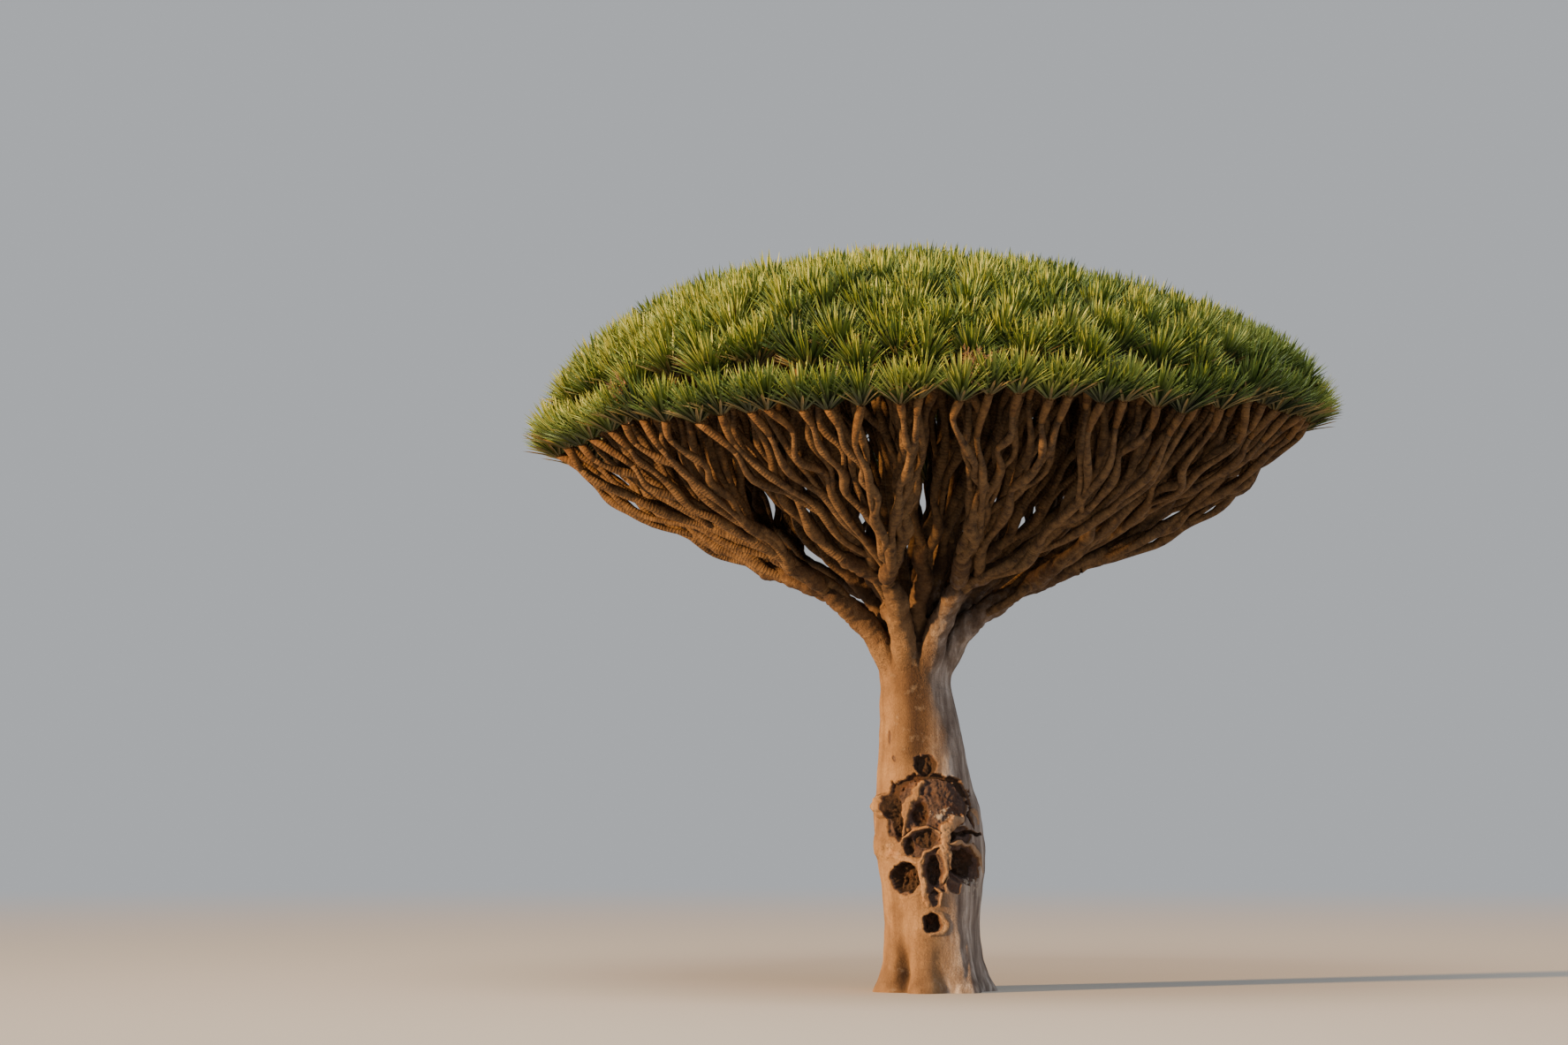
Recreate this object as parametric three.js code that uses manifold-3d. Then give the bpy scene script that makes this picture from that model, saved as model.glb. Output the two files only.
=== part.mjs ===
// Dragon blood tree, rooted in the ground: a stout scarred trunk, boughs that fork again and again,
// and an umbrella of sword-leaf rosettes. Millimetres, +Z up, the origin in the middle of the trunk's
// flat cut at ground level. The tree is seen from -Y, with +X to the right.
import * as THREE from "three";
import { mergeVertices } from "three/addons/utils/BufferGeometryUtils.js";
import Module from "manifold-3d";

const wasm = await Module();
wasm.setup();

// Driving dimensions of the whole tree
const canopyRadius = 3330; // trunk axis to the twig ends of the rim
const rimHeight = 4860; // ground to the twig ends of the rim
const domeRise = 1400; // rim to the topmost twig ends
const domeFullness = 0.56; // 1 gives a paraboloid, 0.5 an ellipsoid
const domeLean = 0.2; // the dome is fuller towards -X
const canopySlope = 0.04; // and its rim higher towards +X
const rimWaves = [
  { size: 0.01, turns: 1, phase: Math.PI },
  { size: 0.02, turns: 3, phase: 1 },
  { size: 0.015, turns: 5, phase: 2 },
]; // the rim is a little out of round
const flowOrigin = new THREE.Vector3(-150, 0, 2700); // the limbs spring from round here, inside the trunk
const rosetteCount = 130; // rosettes of the solids, each standing for several real ones
const realRosettes = 700; // rosettes of the living tree, for the thickness of its limbs
const rosetteSpread = 1.15; // the canopy's surface, as a share of its plan
const tipPlay = { share: 0.02, angle: 0.12 }; // how far rosettes stray from an even spread
const rimPlay = { share: 0.006, angle: 0.5 }; // and those of the rim's row, whose angle is in steps
const rimInset = 0.3; // the others stay this far inside that row, in rosette spacings
const rimCrowding = 0.35; // and stand closer towards it, where the canopy is steep
const massRings = [
  { count: 4, share: 0.22, offset: 0.5 },
  { count: 8, share: 0.53, offset: 0 },
  { count: 16, share: 0.84, offset: 0.5 },
]; // foliage masses, in rings at a share of the canopy's radius
const massPlay = { share: 0.05, angle: 0.24 }; // how far the masses stray from those rings

// Limbs: thickness follows how many rosettes a limb feeds
const twigRadius = 30; // under one real rosette
const pipeExponent = 0.26;
const baseSwelling = 0.6; // extra thickness of a bough where it leaves the trunk
const swellingStart = 0.1; // share of the way to the canopy where that begins to fade
const swellingReach = 0.16; // and over which it fades
const wayBends = [
  { out: 0.05, up: 0 },
  { out: 0.23, up: 0.49 },
  { out: 0.68, up: 0.14 },
]; // a limb's way from the trunk to the canopy: its start and two handles, as shares of its reach
const stubShare = 0.22; // the boughs part from the trunk's head here
const forkShare = 0.37; // some of the boughs fork here
const massShare = 0.54; // limbs end and foliage masses begin here
const limbWiggle = 50; // sideways play of a limb's nodes
const limbSides = 8;
const twigSides = 3;
const stemTaper = 0.96; // a mass's stem against the tip of its bough
const forkHaste = 0.75; // how early twigs fork; 1 spaces the forks evenly up to the canopy
const handleShare = 0.45; // a twig's way is a curve with two handles, as long as this share of its reach
const endLean = 0.8; // how far the last twigs at the rim lean outwards
const sideRootShare = 0.6; // thickness of a side twig's root, sunk in the twig that carries it
const tubeSide = new THREE.Vector3(0.31, 0.83, 0.46); // every tube's frame starts from this direction
const gap = 0.3; // between touching solids
const cutClearance = 0.5; // growth of a limb that cuts its neighbour

// Rosettes
const leafLength = 415;
const leafPairs = 3; // low and high leaves in turn, and one more low leaf at the end
const lowLeafTilt = 14; // degrees above the rosette's own level
const highLeafTilt = 66;
const leafPlay = { tilt: 10, length: 0.2 }; // how far leaves differ, in degrees and as a share
const rosetteLean = 0.3; // how far the rim's rosettes look outwards
const hubRadius = 240; // where two leaves part
const hubRise = 150; // the hub's height above and depth below the twig's end
const hubDrop = 30;
const cellMargin = 14; // leaves stay this far inside their mass's space
const hubMargin = 80; // rosette middles stay this far inside it
const rosetteMargin = 6; // leaves stay this far inside their rosette's own space
const flowerStalkEvery = 19; // one rosette in so many carries a spent flower stalk
const flowerStalkStep = 7; // moves the count on from mass to mass
const flowerStalk = { root: 40, height: 400, spread: 110, depth: 60, foot: 26, end: 9 };

// Trunk outline: height above ground and mean radius
const trunkOutline = [
  [0, 540],
  [110, 492],
  [300, 455],
  [600, 442],
  [900, 465],
  [1250, 508],
  [1600, 500],
  [1850, 448],
  [2150, 414],
  [2500, 378],
  [2750, 352],
  [2900, 372],
  [2990, 380],
];
const trunkLean = [
  [0, 0],
  [900, 0],
  [1600, -50],
  [2150, -92],
  [2780, -155],
  [2990, -150],
]; // height and sideways place of the trunk's axis
const trunkSides = 26;
const trunkRowHeight = 180;
const flareLobes = 7;
const flareDepth = 90; // how far the root flare's lobes stand out at ground level
const flareHeight = 330; // over which they fade
const flareTurn = { start: 0.6, swing: 0.8 }; // spaces the lobes unevenly round the foot
const trunkWaves = [
  { size: 0.03, turns: 2, rise: 700 },
  { size: 0.02, turns: 5, rise: -300 },
]; // uneven girth: share of the radius, waves round the trunk, height of a wave

// Old resin scars, each a hollow in the bark
const scars = [
  { across: -65, height: 2030, width: 260, tall: 240, depth: 75 },
  { across: 20, height: 1650, width: 800, tall: 470, depth: 75 },
  { across: -410, height: 1490, width: 180, tall: 230, depth: 90 },
  { across: -130, height: 1310, width: 340, tall: 250, depth: 75 },
  { across: -280, height: 1005, width: 300, tall: 320, depth: 130 },
  { across: 10, height: 1055, width: 260, tall: 310, depth: 90 },
  { across: 330, height: 1150, width: 340, tall: 380, depth: 125 },
  { across: 20, height: 600, width: 220, tall: 210, depth: 110 },
  { across: 60, height: 1500, width: 420, tall: 400, depth: 85, back: true },
  { across: -210, height: 960, width: 260, tall: 300, depth: 100, back: true },
  { across: 230, height: 720, width: 210, tall: 230, depth: 90, back: true },
];
const lumps = [
  { across: -520, height: 1700, radius: 130, sunk: 85 },
  { across: -505, height: 1390, radius: 115, sunk: 80 },
]; // healed knobs on the trunk's left edge

const ballFacets = { round: 8, down: 5 }; // of the balls that the scars and lumps are cut from

const seeds = { middles: 11, limbs: 29, tips: 5, masses: 100 };
const barkColour = new THREE.Color("#b59a80");
const boughColour = new THREE.Color("#8b6a4c");
const leafColour = new THREE.Color("#5f8433");

// A repeatable source of numbers from 0 to 1
function seededRandom(seed) {
  let state = seed;
  return () => {
    state = (Math.imul(state, 1664525) + 1013904223) >>> 0;
    return state / 4294967296;
  };
}

function sumOf(numbers) {
  return numbers.reduce((sum, number) => sum + number, 0);
}

// Value at x on a line through [x, value] pairs, eased between them
function onOutline(pairs, x) {
  const last = pairs.length - 1;
  if (x >= pairs[last][0]) return pairs[last][1];
  const i = pairs.findIndex(([reach]) => reach > x) - 1;
  const [[x0, y0], [x1, y1]] = [pairs[i], pairs[i + 1]];
  const straight = (x - x0) / (x1 - x0);
  return THREE.MathUtils.lerp(y0, y1, 0.5 * (straight + THREE.MathUtils.smoothstep(x, x0, x1)));
}

// The canopy: where twigs end, at a share of the radius and an angle round the trunk
function canopyPoint(share, angle) {
  const waves = rimWaves.map(({ size, turns, phase }) => size * Math.cos(turns * angle + phase));
  const radius = canopyRadius * (1 + sumOf(waves)) * share;
  const x = radius * Math.cos(angle);
  const fullness = 1 - (domeLean * x) / canopyRadius;
  const dome = domeRise * fullness * Math.pow(1 - share * share, domeFullness);
  return new THREE.Vector3(x, radius * Math.sin(angle), rimHeight + dome + canopySlope * x);
}

// Twig ends: one row round the rim, and the others spread by the golden angle inside it
function canopyTips(count, seed) {
  const random = seededRandom(seed);
  const goldenAngle = Math.PI * (3 - Math.sqrt(5));
  const spacing = Math.sqrt((Math.PI * rosetteSpread) / count);
  const rimCount = Math.round((2 * Math.PI) / spacing);
  const within = count - rimCount;
  const reach = 1 - rimInset * spacing;
  const inside = Array.from({ length: within }, (_, i) => {
    const order = (i + 0.5) / (within - 0.5);
    const share = reach * Math.sqrt(order * (1 + rimCrowding * (1 - order)));
    const angle = i * goldenAngle + tipPlay.angle * (random() - 0.5);
    return canopyPoint(share * (1 - tipPlay.share * random()), angle);
  });
  const row = Array.from({ length: rimCount }, (_, i) => {
    const angle = ((i + rimPlay.angle * (random() - 0.5)) * 2 * Math.PI) / rimCount;
    return canopyPoint(1 - rimPlay.share * random(), angle);
  });
  return [...inside, ...row];
}

// Middles of the foliage masses: rings of even area, a little out of true
function massMiddles() {
  const random = seededRandom(seeds.middles);
  return massRings.map(({ count, share, offset }) =>
    Array.from({ length: count }, (_, i) => {
      const step = (2 * Math.PI) / count;
      const angle = (i + offset + massPlay.angle * (random() - 0.5)) * step;
      return canopyPoint(share + massPlay.share * (random() - 0.5), angle);
    }),
  );
}

// The limb rule: the point at a share of the way from the trunk to a canopy point. Limbs leave the
// trunk steeply, run out flat and turn up again under the canopy.
function flowPoint(target, share) {
  const reach = target.clone().sub(flowOrigin);
  const bends = wayBends.map(({ out, up }) => {
    return new THREE.Vector3(out, out, up).multiply(reach).add(flowOrigin);
  });
  return new THREE.CubicBezierCurve3(...bends, target).getPoint(share);
}

function meanPoint(points) {
  return points.reduce((sum, p) => sum.add(p), new THREE.Vector3()).divideScalar(points.length);
}

function limbRadius(rosettes, share) {
  const swelling = 1 + baseSwelling * Math.exp(-Math.max(0, share - swellingStart) / swellingReach);
  return twigRadius * Math.pow(rosettes, pipeExponent) * swelling;
}

// Closed geometry to a manifold-3d solid, and back
function solidOf(geometry) {
  const bare = geometry.clone();
  bare.deleteAttribute("normal");
  bare.deleteAttribute("uv");
  const merged = mergeVertices(bare, 1e-3);
  return new wasm.Manifold(
    new wasm.Mesh({
      numProp: 3,
      vertProperties: new Float32Array(merged.attributes.position.array),
      triVerts: new Uint32Array(merged.index.array),
    }),
  );
}

function geometryOf(solid) {
  const mesh = solid.getMesh();
  const geometry = new THREE.BufferGeometry();
  geometry.setAttribute("position", new THREE.BufferAttribute(mesh.vertProperties, 3));
  geometry.setIndex(new THREE.BufferAttribute(mesh.triVerts, 1));
  geometry.computeVertexNormals();
  return geometry;
}

function largestBody(solid) {
  return solid.decompose().reduce((best, body) => (body.volume() > best.volume() ? body : best));
}

// A tapered tube: a cylinder whose rings are moved to the rings given, each {point, along, radius}
function tubeSolid(rings, sides) {
  const geometry = new THREE.CylinderGeometry(1, 1, 1, sides, rings.length - 1);
  const across = tubeSide.clone();
  const frames = rings.map(({ point, along, radius }) => {
    across.addScaledVector(along, -across.dot(along)).normalize();
    return { point, radius, across: across.clone(), other: across.clone().cross(along) };
  });
  const position = geometry.attributes.position;
  const vertex = new THREE.Vector3();
  for (let i = 0; i < position.count; i += 1) {
    vertex.fromBufferAttribute(position, i);
    const frame = frames[Math.round((vertex.y + 0.5) * (rings.length - 1))];
    const placed = frame.point
      .clone()
      .addScaledVector(frame.across, vertex.x * frame.radius)
      .addScaledVector(frame.other, vertex.z * frame.radius);
    position.setXYZ(i, placed.x, placed.y, placed.z);
  }
  return solidOf(geometry);
}

// Rings along a smooth curve through limb nodes, from one node number to another
function ringsAlong(nodes, fromNode, toNode, steps) {
  const curve = new THREE.CatmullRomCurve3(nodes.map((n) => n.point), false, "catmullrom", 0.5);
  const last = nodes.length - 1;
  return Array.from({ length: steps + 1 }, (_, i) => {
    const place = THREE.MathUtils.lerp(fromNode, toNode, i / steps);
    const before = Math.min(Math.floor(place), last - 1);
    const radius = THREE.MathUtils.lerp(nodes[before].radius, nodes[before + 1].radius, place - before);
    return { point: curve.getPoint(place / last), along: curve.getTangent(place / last), radius };
  });
}

// The same rings, grown for clearance
function grownRings(rings, by) {
  return rings.map((ring, i) => {
    const end = i === 0 ? -by : i === rings.length - 1 ? by : 0;
    return { ...ring, point: ring.point.clone().addScaledVector(ring.along, end), radius: ring.radius + by };
  });
}

// All limbs. A branch is one mass's middle, or a pair of them: the first carries the limb on
function growLimbs(mainBranches) {
  const random = seededRandom(seeds.limbs);
  const limbs = [];
  const radiusOf = (branch, share) => limbRadius([branch].flat().length * rosettesPerMass, share);
  const aimOf = (branch) => meanPoint([branch].flat());
  const nodeAt = (branch, share, wiggle) => {
    const point = flowPoint(aimOf(branch), share);
    const play = new THREE.Vector3(random() - 0.5, random() - 0.5, random() - 0.5);
    point.addScaledVector(play, 2 * wiggle);
    return { point, radius: radiusOf(branch, share) };
  };
  const finish = (limb, middle) => {
    limb.nodes.push(nodeAt(middle, massShare, 0));
    limb.middle = middle;
    limbs.push(limb);
  };
  for (const branch of mainBranches) {
    const foot = [0, stubShare / 2, stubShare].map((share) => nodeAt(branch, share, 0));
    const fork = nodeAt(branch, forkShare, limbWiggle);
    const main = { nodes: [...foot, fork], main: true };
    if (Array.isArray(branch)) {
      const [onward, aside] = branch;
      const sideRoot = { point: fork.point, radius: radiusOf(aside, forkShare) };
      finish(main, onward);
      finish({ nodes: [sideRoot], main: false }, aside);
    } else {
      finish(main, branch);
    }
  }
  return limbs;
}

// Splits twig ends in two across their longest plan distance
function halves(tips) {
  let ends = [tips[0], tips[1]];
  const planDistance = (a, b) => Math.hypot(a.x - b.x, a.y - b.y);
  for (const a of tips) for (const b of tips) if (planDistance(a, b) > planDistance(...ends)) ends = [a, b];
  const along = ends[1].clone().sub(ends[0]);
  const sorted = [...tips].sort((a, b) => a.x * along.x + a.y * along.y - b.x * along.x - b.y * along.y);
  const middle = Math.ceil(tips.length / 2);
  return [sorted.slice(0, middle), sorted.slice(middle)];
}

// A twig's way: a curve that leaves along its limb and ends upwards, outwards too at the rim
function twigWay(start, along, target) {
  const out = new THREE.Vector3(target.x, target.y, 0).divideScalar(canopyRadius);
  const end = out.clone().multiplyScalar(endLean * out.length());
  end.z = 1;
  const handle = handleShare * start.distanceTo(target);
  const near = start.clone().addScaledVector(along, handle);
  const far = target.clone().addScaledVector(end.normalize(), -handle);
  return new THREE.CubicBezierCurve3(start, near, far, target);
}

// Twig paths of one mass, from its stem's first nodes to each of its tips
function growTwigs(path, along, tips, paths) {
  const start = path[path.length - 1].point;
  const radius = limbRadius((tips.length * realRosettes) / rosetteCount, 1);
  if (tips.length === 1) {
    const [tip] = tips;
    path.push({ point: twigWay(start, along, tip).getPoint(0.5), radius }, { point: tip, radius });
    paths.push({ path, tip });
    return;
  }
  const [first, second] = halves(tips);
  const way = twigWay(start, along, meanPoint(tips));
  const step = forkHaste / (Math.log2(tips.length) + 1);
  const point = way.getPoint(step);
  const onward = way.getTangent(step);
  path.push({ point, radius });
  growTwigs(path, onward, first, paths);
  growTwigs([{ point, radius: radius * sideRootShare }], onward, second, paths);
}

// A point of a mass moved, in plan, to stay a margin inside the mass's own space
function keptInside(point, middle, allMiddles, margin) {
  const kept = point.clone();
  for (const other of allMiddles) {
    if (other === middle) continue;
    const away = new THREE.Vector2(other.x - middle.x, other.y - middle.y);
    const half = away.length() / 2;
    away.normalize();
    const over = (kept.x - middle.x) * away.x + (kept.y - middle.y) * away.y - (half - margin);
    if (over > 0) {
      kept.x -= away.x * over;
      kept.y -= away.y * over;
    }
  }
  return kept;
}

// The share of a leaf's plan reach that stays nearer to its own centre than to the others, by a margin
function roomFor(tip, offset, centre, others, margin) {
  let room = 1;
  for (const other of others) {
    if (other === centre) continue;
    const away = new THREE.Vector2(other.x - centre.x, other.y - centre.y);
    const half = away.length() / 2 - margin;
    away.normalize();
    const start = (tip.x - centre.x) * away.x + (tip.y - centre.y) * away.y;
    const step = offset.x * away.x + offset.y * away.y;
    if (start + step > half) room = Math.min(room, (half - start) / step);
  }
  return Math.max(0, room);
}

// Which way a rosette looks: up in the middle of the canopy, outwards at the rim
function rosetteAxis(tip) {
  const out = new THREE.Vector2(tip.x, tip.y).divideScalar(canopyRadius);
  const lean = rosetteLean * out.length();
  return new THREE.Vector3(out.x * lean, out.y * lean, 1).normalize();
}

// One rosette: a ring of spiky leaves, low and high in turn, round one hub
function rosetteSolid(tip, otherTips, middle, allMiddles, random) {
  const axis = rosetteAxis(tip);
  const across = new THREE.Vector3(1, 0.2, 0).cross(axis).normalize();
  const other = axis.clone().cross(across);
  const place = (reach, angle, rise) =>
    new THREE.Vector3()
      .addScaledVector(across, reach * Math.cos(angle))
      .addScaledVector(other, reach * Math.sin(angle))
      .addScaledVector(axis, rise);
  const roomAround = (offset) => {
    const roomInMass = roomFor(tip, offset, middle, allMiddles, cellMargin);
    return Math.min(roomInMass, roomFor(tip, offset, tip, otherTips, rosetteMargin));
  };
  const leaves = 2 * leafPairs + 1;
  const turn = random() * Math.PI;
  const vertices = [place(0, 0, hubRise)];
  for (let k = 0; k < leaves; k += 1) {
    const angle = turn + (k * 2 * Math.PI) / leaves;
    const degrees = (k % 2 ? highLeafTilt : lowLeafTilt) + leafPlay.tilt * (random() - 0.5);
    const tilt = THREE.MathUtils.degToRad(degrees);
    const length = leafLength * (1 + leafPlay.length * (random() - 0.5));
    const leafTip = place(length * Math.cos(tilt), angle, length * Math.sin(tilt));
    const leafRoom = roomAround(leafTip);
    const level = Math.hypot(leafTip.x, leafTip.y) * leafRoom;
    const height = leafRoom < 1 ? Math.sqrt(length * length - level * level) : leafTip.z;
    const parting = place(hubRadius, angle - Math.PI / leaves, 0);
    const hubRoom = roomAround(parting);
    vertices.push(place(hubRadius * hubRoom, angle - Math.PI / leaves, -hubDrop));
    vertices.push(new THREE.Vector3(leafTip.x * leafRoom, leafTip.y * leafRoom, height));
  }
  const valley = (k) => 1 + 2 * (k % leaves);
  const faces = [];
  for (let k = 0; k < leaves; k += 1) {
    const leafTip = valley(k) + 1;
    faces.push(0, valley(k), leafTip, 0, leafTip, valley(k + 1), valley(k + 1), leafTip, valley(k));
    if (k > 1) faces.push(valley(0), valley(k), valley(k - 1));
  }
  const geometry = new THREE.BufferGeometry().setFromPoints(vertices.map((v) => v.add(tip)));
  geometry.setIndex(faces);
  return solidOf(geometry);
}

// A spent flower stalk: three thin arms above a rosette
function flowerStalkSolid(tip) {
  const { root, height, spread, depth, foot, end } = flowerStalk;
  const axis = rosetteAxis(tip);
  const start = tip.clone().addScaledVector(axis, root);
  const arms = [-1, 0, 1].map((k) => {
    const point = tip.clone().addScaledVector(axis, height);
    point.x += spread * k;
    point.y += depth * Math.abs(k);
    const along = point.clone().sub(start).normalize();
    return tubeSolid([{ point: start, along, radius: foot }, { point, along, radius: end }], twigSides);
  });
  return arms[0].add(arms[1]).add(arms[2]);
}

// One foliage mass: its stem and twigs, with a rosette fused on each tip
function massSolid(limb, tips, allMiddles, massNumber) {
  const random = seededRandom(seeds.masses + massNumber);
  const last = ringsAlong(limb.nodes, 0, limb.nodes.length - 1, 2)[2];
  const start = last.point.clone().addScaledVector(last.along, gap);
  const stemNode = { point: start, radius: last.radius * stemTaper };
  const inner = tips.map((tip) => keptInside(tip, limb.middle, allMiddles, hubMargin));
  const paths = [];
  growTwigs([stemNode], last.along, inner, paths);
  let solid = null;
  paths.forEach(({ path, tip }, i) => {
    const rings = path.map((node, k) => {
      const before = path[Math.max(0, k - 1)].point;
      const after = path[Math.min(path.length - 1, k + 1)].point;
      const along = after.clone().sub(before).normalize();
      return { ...node, along: k === 0 && i === 0 ? last.along.clone() : along };
    });
    const twig = tubeSolid(rings, twigSides);
    const rosette = rosetteSolid(tip, inner, limb.middle, allMiddles, random);
    solid = solid ? solid.add(twig).add(rosette) : twig.add(rosette);
    const count = massNumber * flowerStalkStep + i;
    if (count % flowerStalkEvery === 0) solid = solid.add(flowerStalkSolid(tip));
  });
  return largestBody(solid);
}

// Trunk: a cylinder moved row by row to the outline, with the root flare's lobes at its foot
function trunkSolid(stubs) {
  const height = trunkOutline[trunkOutline.length - 1][0];
  const rows = Math.round(height / trunkRowHeight);
  const geometry = new THREE.CylinderGeometry(1, 1, 1, trunkSides, rows);
  geometry.rotateX(Math.PI / 2);
  const position = geometry.attributes.position;
  for (let i = 0; i < position.count; i += 1) {
    const z = (position.getZ(i) + 0.5) * height;
    const angle = Math.atan2(position.getY(i), position.getX(i));
    const share = Math.hypot(position.getX(i), position.getY(i));
    const turn = flareLobes * angle + flareTurn.start + flareTurn.swing * Math.sin(angle);
    const lobe = 0.5 + 0.5 * Math.cos(turn);
    const flare = flareDepth * lobe * Math.exp(-z / flareHeight);
    const waves = trunkWaves.map(({ size, turns, rise }) => size * Math.sin(turns * angle + z / rise));
    const radius = share * (onOutline(trunkOutline, z) * (1 + sumOf(waves)) + flare - flareDepth / 3);
    const x = radius * Math.cos(angle) + onOutline(trunkLean, z);
    position.setXYZ(i, x, radius * Math.sin(angle), z);
  }
  let solid = solidOf(geometry);
  for (const stub of stubs) solid = solid.add(stub);
  for (const { across, height: z, radius, sunk } of lumps) {
    solid = solid.add(ballAt(across, z, [radius, radius, radius], sunk, false));
  }
  for (const { across, height: z, width, tall, depth, back } of scars) {
    solid = solid.subtract(ballAt(across, z, [width / 2, depth, tall / 2], 0, back));
  }
  return largestBody(solid);
}

// An ellipsoid facing straight out of the trunk, its centre sunk below the skin
function ballAt(across, z, [halfWidth, halfDepth, halfTall], sunk, back) {
  const radius = onOutline(trunkOutline, z);
  const side = THREE.MathUtils.clamp(across - onOutline(trunkLean, z), -radius, radius);
  const turn = Math.asin(side / radius);
  const ball = new THREE.SphereGeometry(1, ballFacets.round, ballFacets.down);
  ball.scale(halfWidth, halfTall, halfDepth);
  ball.rotateX(Math.PI / 2);
  ball.translate(0, sunk - radius, 0);
  ball.rotateZ(back ? Math.PI - turn : turn);
  ball.translate(onOutline(trunkLean, z), 0, z);
  return solidOf(ball);
}

const [innerRing, middleRing, rimRing] = massMiddles();
const allMiddles = [...innerRing, ...middleRing, ...rimRing];
const rosettesPerMass = realRosettes / allMiddles.length;
const pairsOf = (ring) => ring.filter((_, i) => i % 2 === 0).map((middle, i) => [middle, ring[2 * i + 1]]);
const limbs = growLimbs([...pairsOf(rimRing), ...middleRing, ...innerRing]);

const tree = new THREE.Group();
function addNode(name, solid, colour, roughness) {
  const material = new THREE.MeshStandardMaterial({ color: colour, roughness, metalness: 0 });
  const mesh = new THREE.Mesh(geometryOf(solid), material);
  mesh.name = name;
  tree.add(mesh);
}

const twoDigits = (number) => String(number).padStart(2, "0");
const stubNode = 2; // the third node of a main bough is at stubShare
const stubs = [];
const clearances = [];
limbs.forEach((limb) => {
  const from = limb.main ? stubNode : 0;
  const to = limb.nodes.length - 1;
  const rings = ringsAlong(limb.nodes, from, to, 2 * (to - from) + 1);
  if (limb.main) {
    stubs.push(tubeSolid(ringsAlong(limb.nodes, 0, stubNode, 3), limbSides));
    rings[0].point.addScaledVector(rings[0].along, gap);
  }
  let solid = tubeSolid(rings, limbSides);
  for (const cutter of clearances) solid = solid.subtract(cutter);
  limb.solid = largestBody(solid);
  clearances.push(tubeSolid(grownRings(rings, cutClearance), limbSides));
});

addNode("trunk", trunkSolid(stubs), barkColour, 0.8);
limbs.forEach((limb, i) => addNode(`bough_${twoDigits(i + 1)}`, limb.solid, boughColour, 0.85));

const tips = canopyTips(rosetteCount, seeds.tips);
const nearestMiddle = (tip) => {
  const distance = (m) => Math.hypot(m.x - tip.x, m.y - tip.y);
  return allMiddles.reduce((best, m) => (distance(m) < distance(best) ? m : best));
};
limbs.forEach((limb, i) => {
  const own = tips.filter((tip) => nearestMiddle(tip) === limb.middle);
  const solid = massSolid(limb, own, allMiddles, i + 1);
  addNode(`foliage_${twoDigits(i + 1)}`, solid, leafColour, 0.6);
});

export default tree;
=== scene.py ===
# Dragon blood tree: bark of the trunk and of its boughs, forking twigs and rosettes of sword leaves
import math
import time
import bpy
import numpy as np
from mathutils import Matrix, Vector, kdtree, noise


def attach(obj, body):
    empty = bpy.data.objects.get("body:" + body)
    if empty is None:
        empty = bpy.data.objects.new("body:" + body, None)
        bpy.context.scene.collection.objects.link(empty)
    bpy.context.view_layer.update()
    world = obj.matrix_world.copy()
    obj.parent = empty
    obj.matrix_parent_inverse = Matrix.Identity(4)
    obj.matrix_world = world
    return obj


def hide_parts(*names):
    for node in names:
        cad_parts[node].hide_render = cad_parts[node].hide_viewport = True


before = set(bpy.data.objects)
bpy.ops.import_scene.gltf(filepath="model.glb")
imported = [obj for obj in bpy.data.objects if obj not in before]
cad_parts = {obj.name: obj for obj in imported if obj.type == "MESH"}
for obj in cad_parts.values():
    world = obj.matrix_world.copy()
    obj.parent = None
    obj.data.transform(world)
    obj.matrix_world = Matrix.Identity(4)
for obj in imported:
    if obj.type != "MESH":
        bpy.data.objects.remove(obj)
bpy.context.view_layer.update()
startedAt = time.time()
goldenAngle = math.pi * (3 - math.sqrt(5))


def report(words):
    print(f"{time.time() - startedAt:6.1f} s  {words}")


def deselectAll():
    if bpy.context.mode != "OBJECT":
        bpy.ops.object.mode_set(mode="OBJECT")
    bpy.ops.object.select_all(action="DESELECT")


def smoothStep(low, high, value):
    share = np.clip((value - low) / (high - low), 0, 1)
    return share * share * (3 - 2 * share)


# Colours are written as sRGB hex
def linear(hexColour):
    values = [int(hexColour[i : i + 2], 16) / 255 for i in (1, 3, 5)]
    return [v / 12.92 if v <= 0.04045 else ((v + 0.055) / 1.055) ** 2.4 for v in values] + [1.0]


# Adds one named node. Its settings are sockets, or else properties, and colours are hex. A link gives the
# name of the node it comes from and, after a dot, the output, unless that is the first one in use.
def addNode(tree, name, kind, settings, links):
    node = tree.nodes.new("ShaderNode" + kind)
    node.name = name
    for key, value in settings.items():
        if key == "stops":
            for i, (place, hexColour) in enumerate(value):
                stop = node.color_ramp.elements[i] if i < 2 else node.color_ramp.elements.new(place)
                stop.position = place
                stop.color = linear(hexColour)
        elif isinstance(key, int) or key in node.inputs:
            node.inputs[key].default_value = linear(value) if isinstance(value, str) else value
        else:
            setattr(node, key, value)
    for key, source in links.items():
        start, _, output = source.partition(".")
        outputs = tree.nodes[start].outputs
        tree.links.new(outputs[output] if output else next(o for o in outputs if o.enabled), node.inputs[key])


# A material from rows of nodes, of which the last is its shader
def newMaterial(name, rows):
    material = bpy.data.materials.new(name)
    material.use_nodes = True
    tree = material.node_tree
    tree.nodes.clear()
    for row in rows:
        addNode(tree, *row)
    addNode(tree, "output", "OutputMaterial", {}, {"Surface": rows[-1][0]})
    return material


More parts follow.
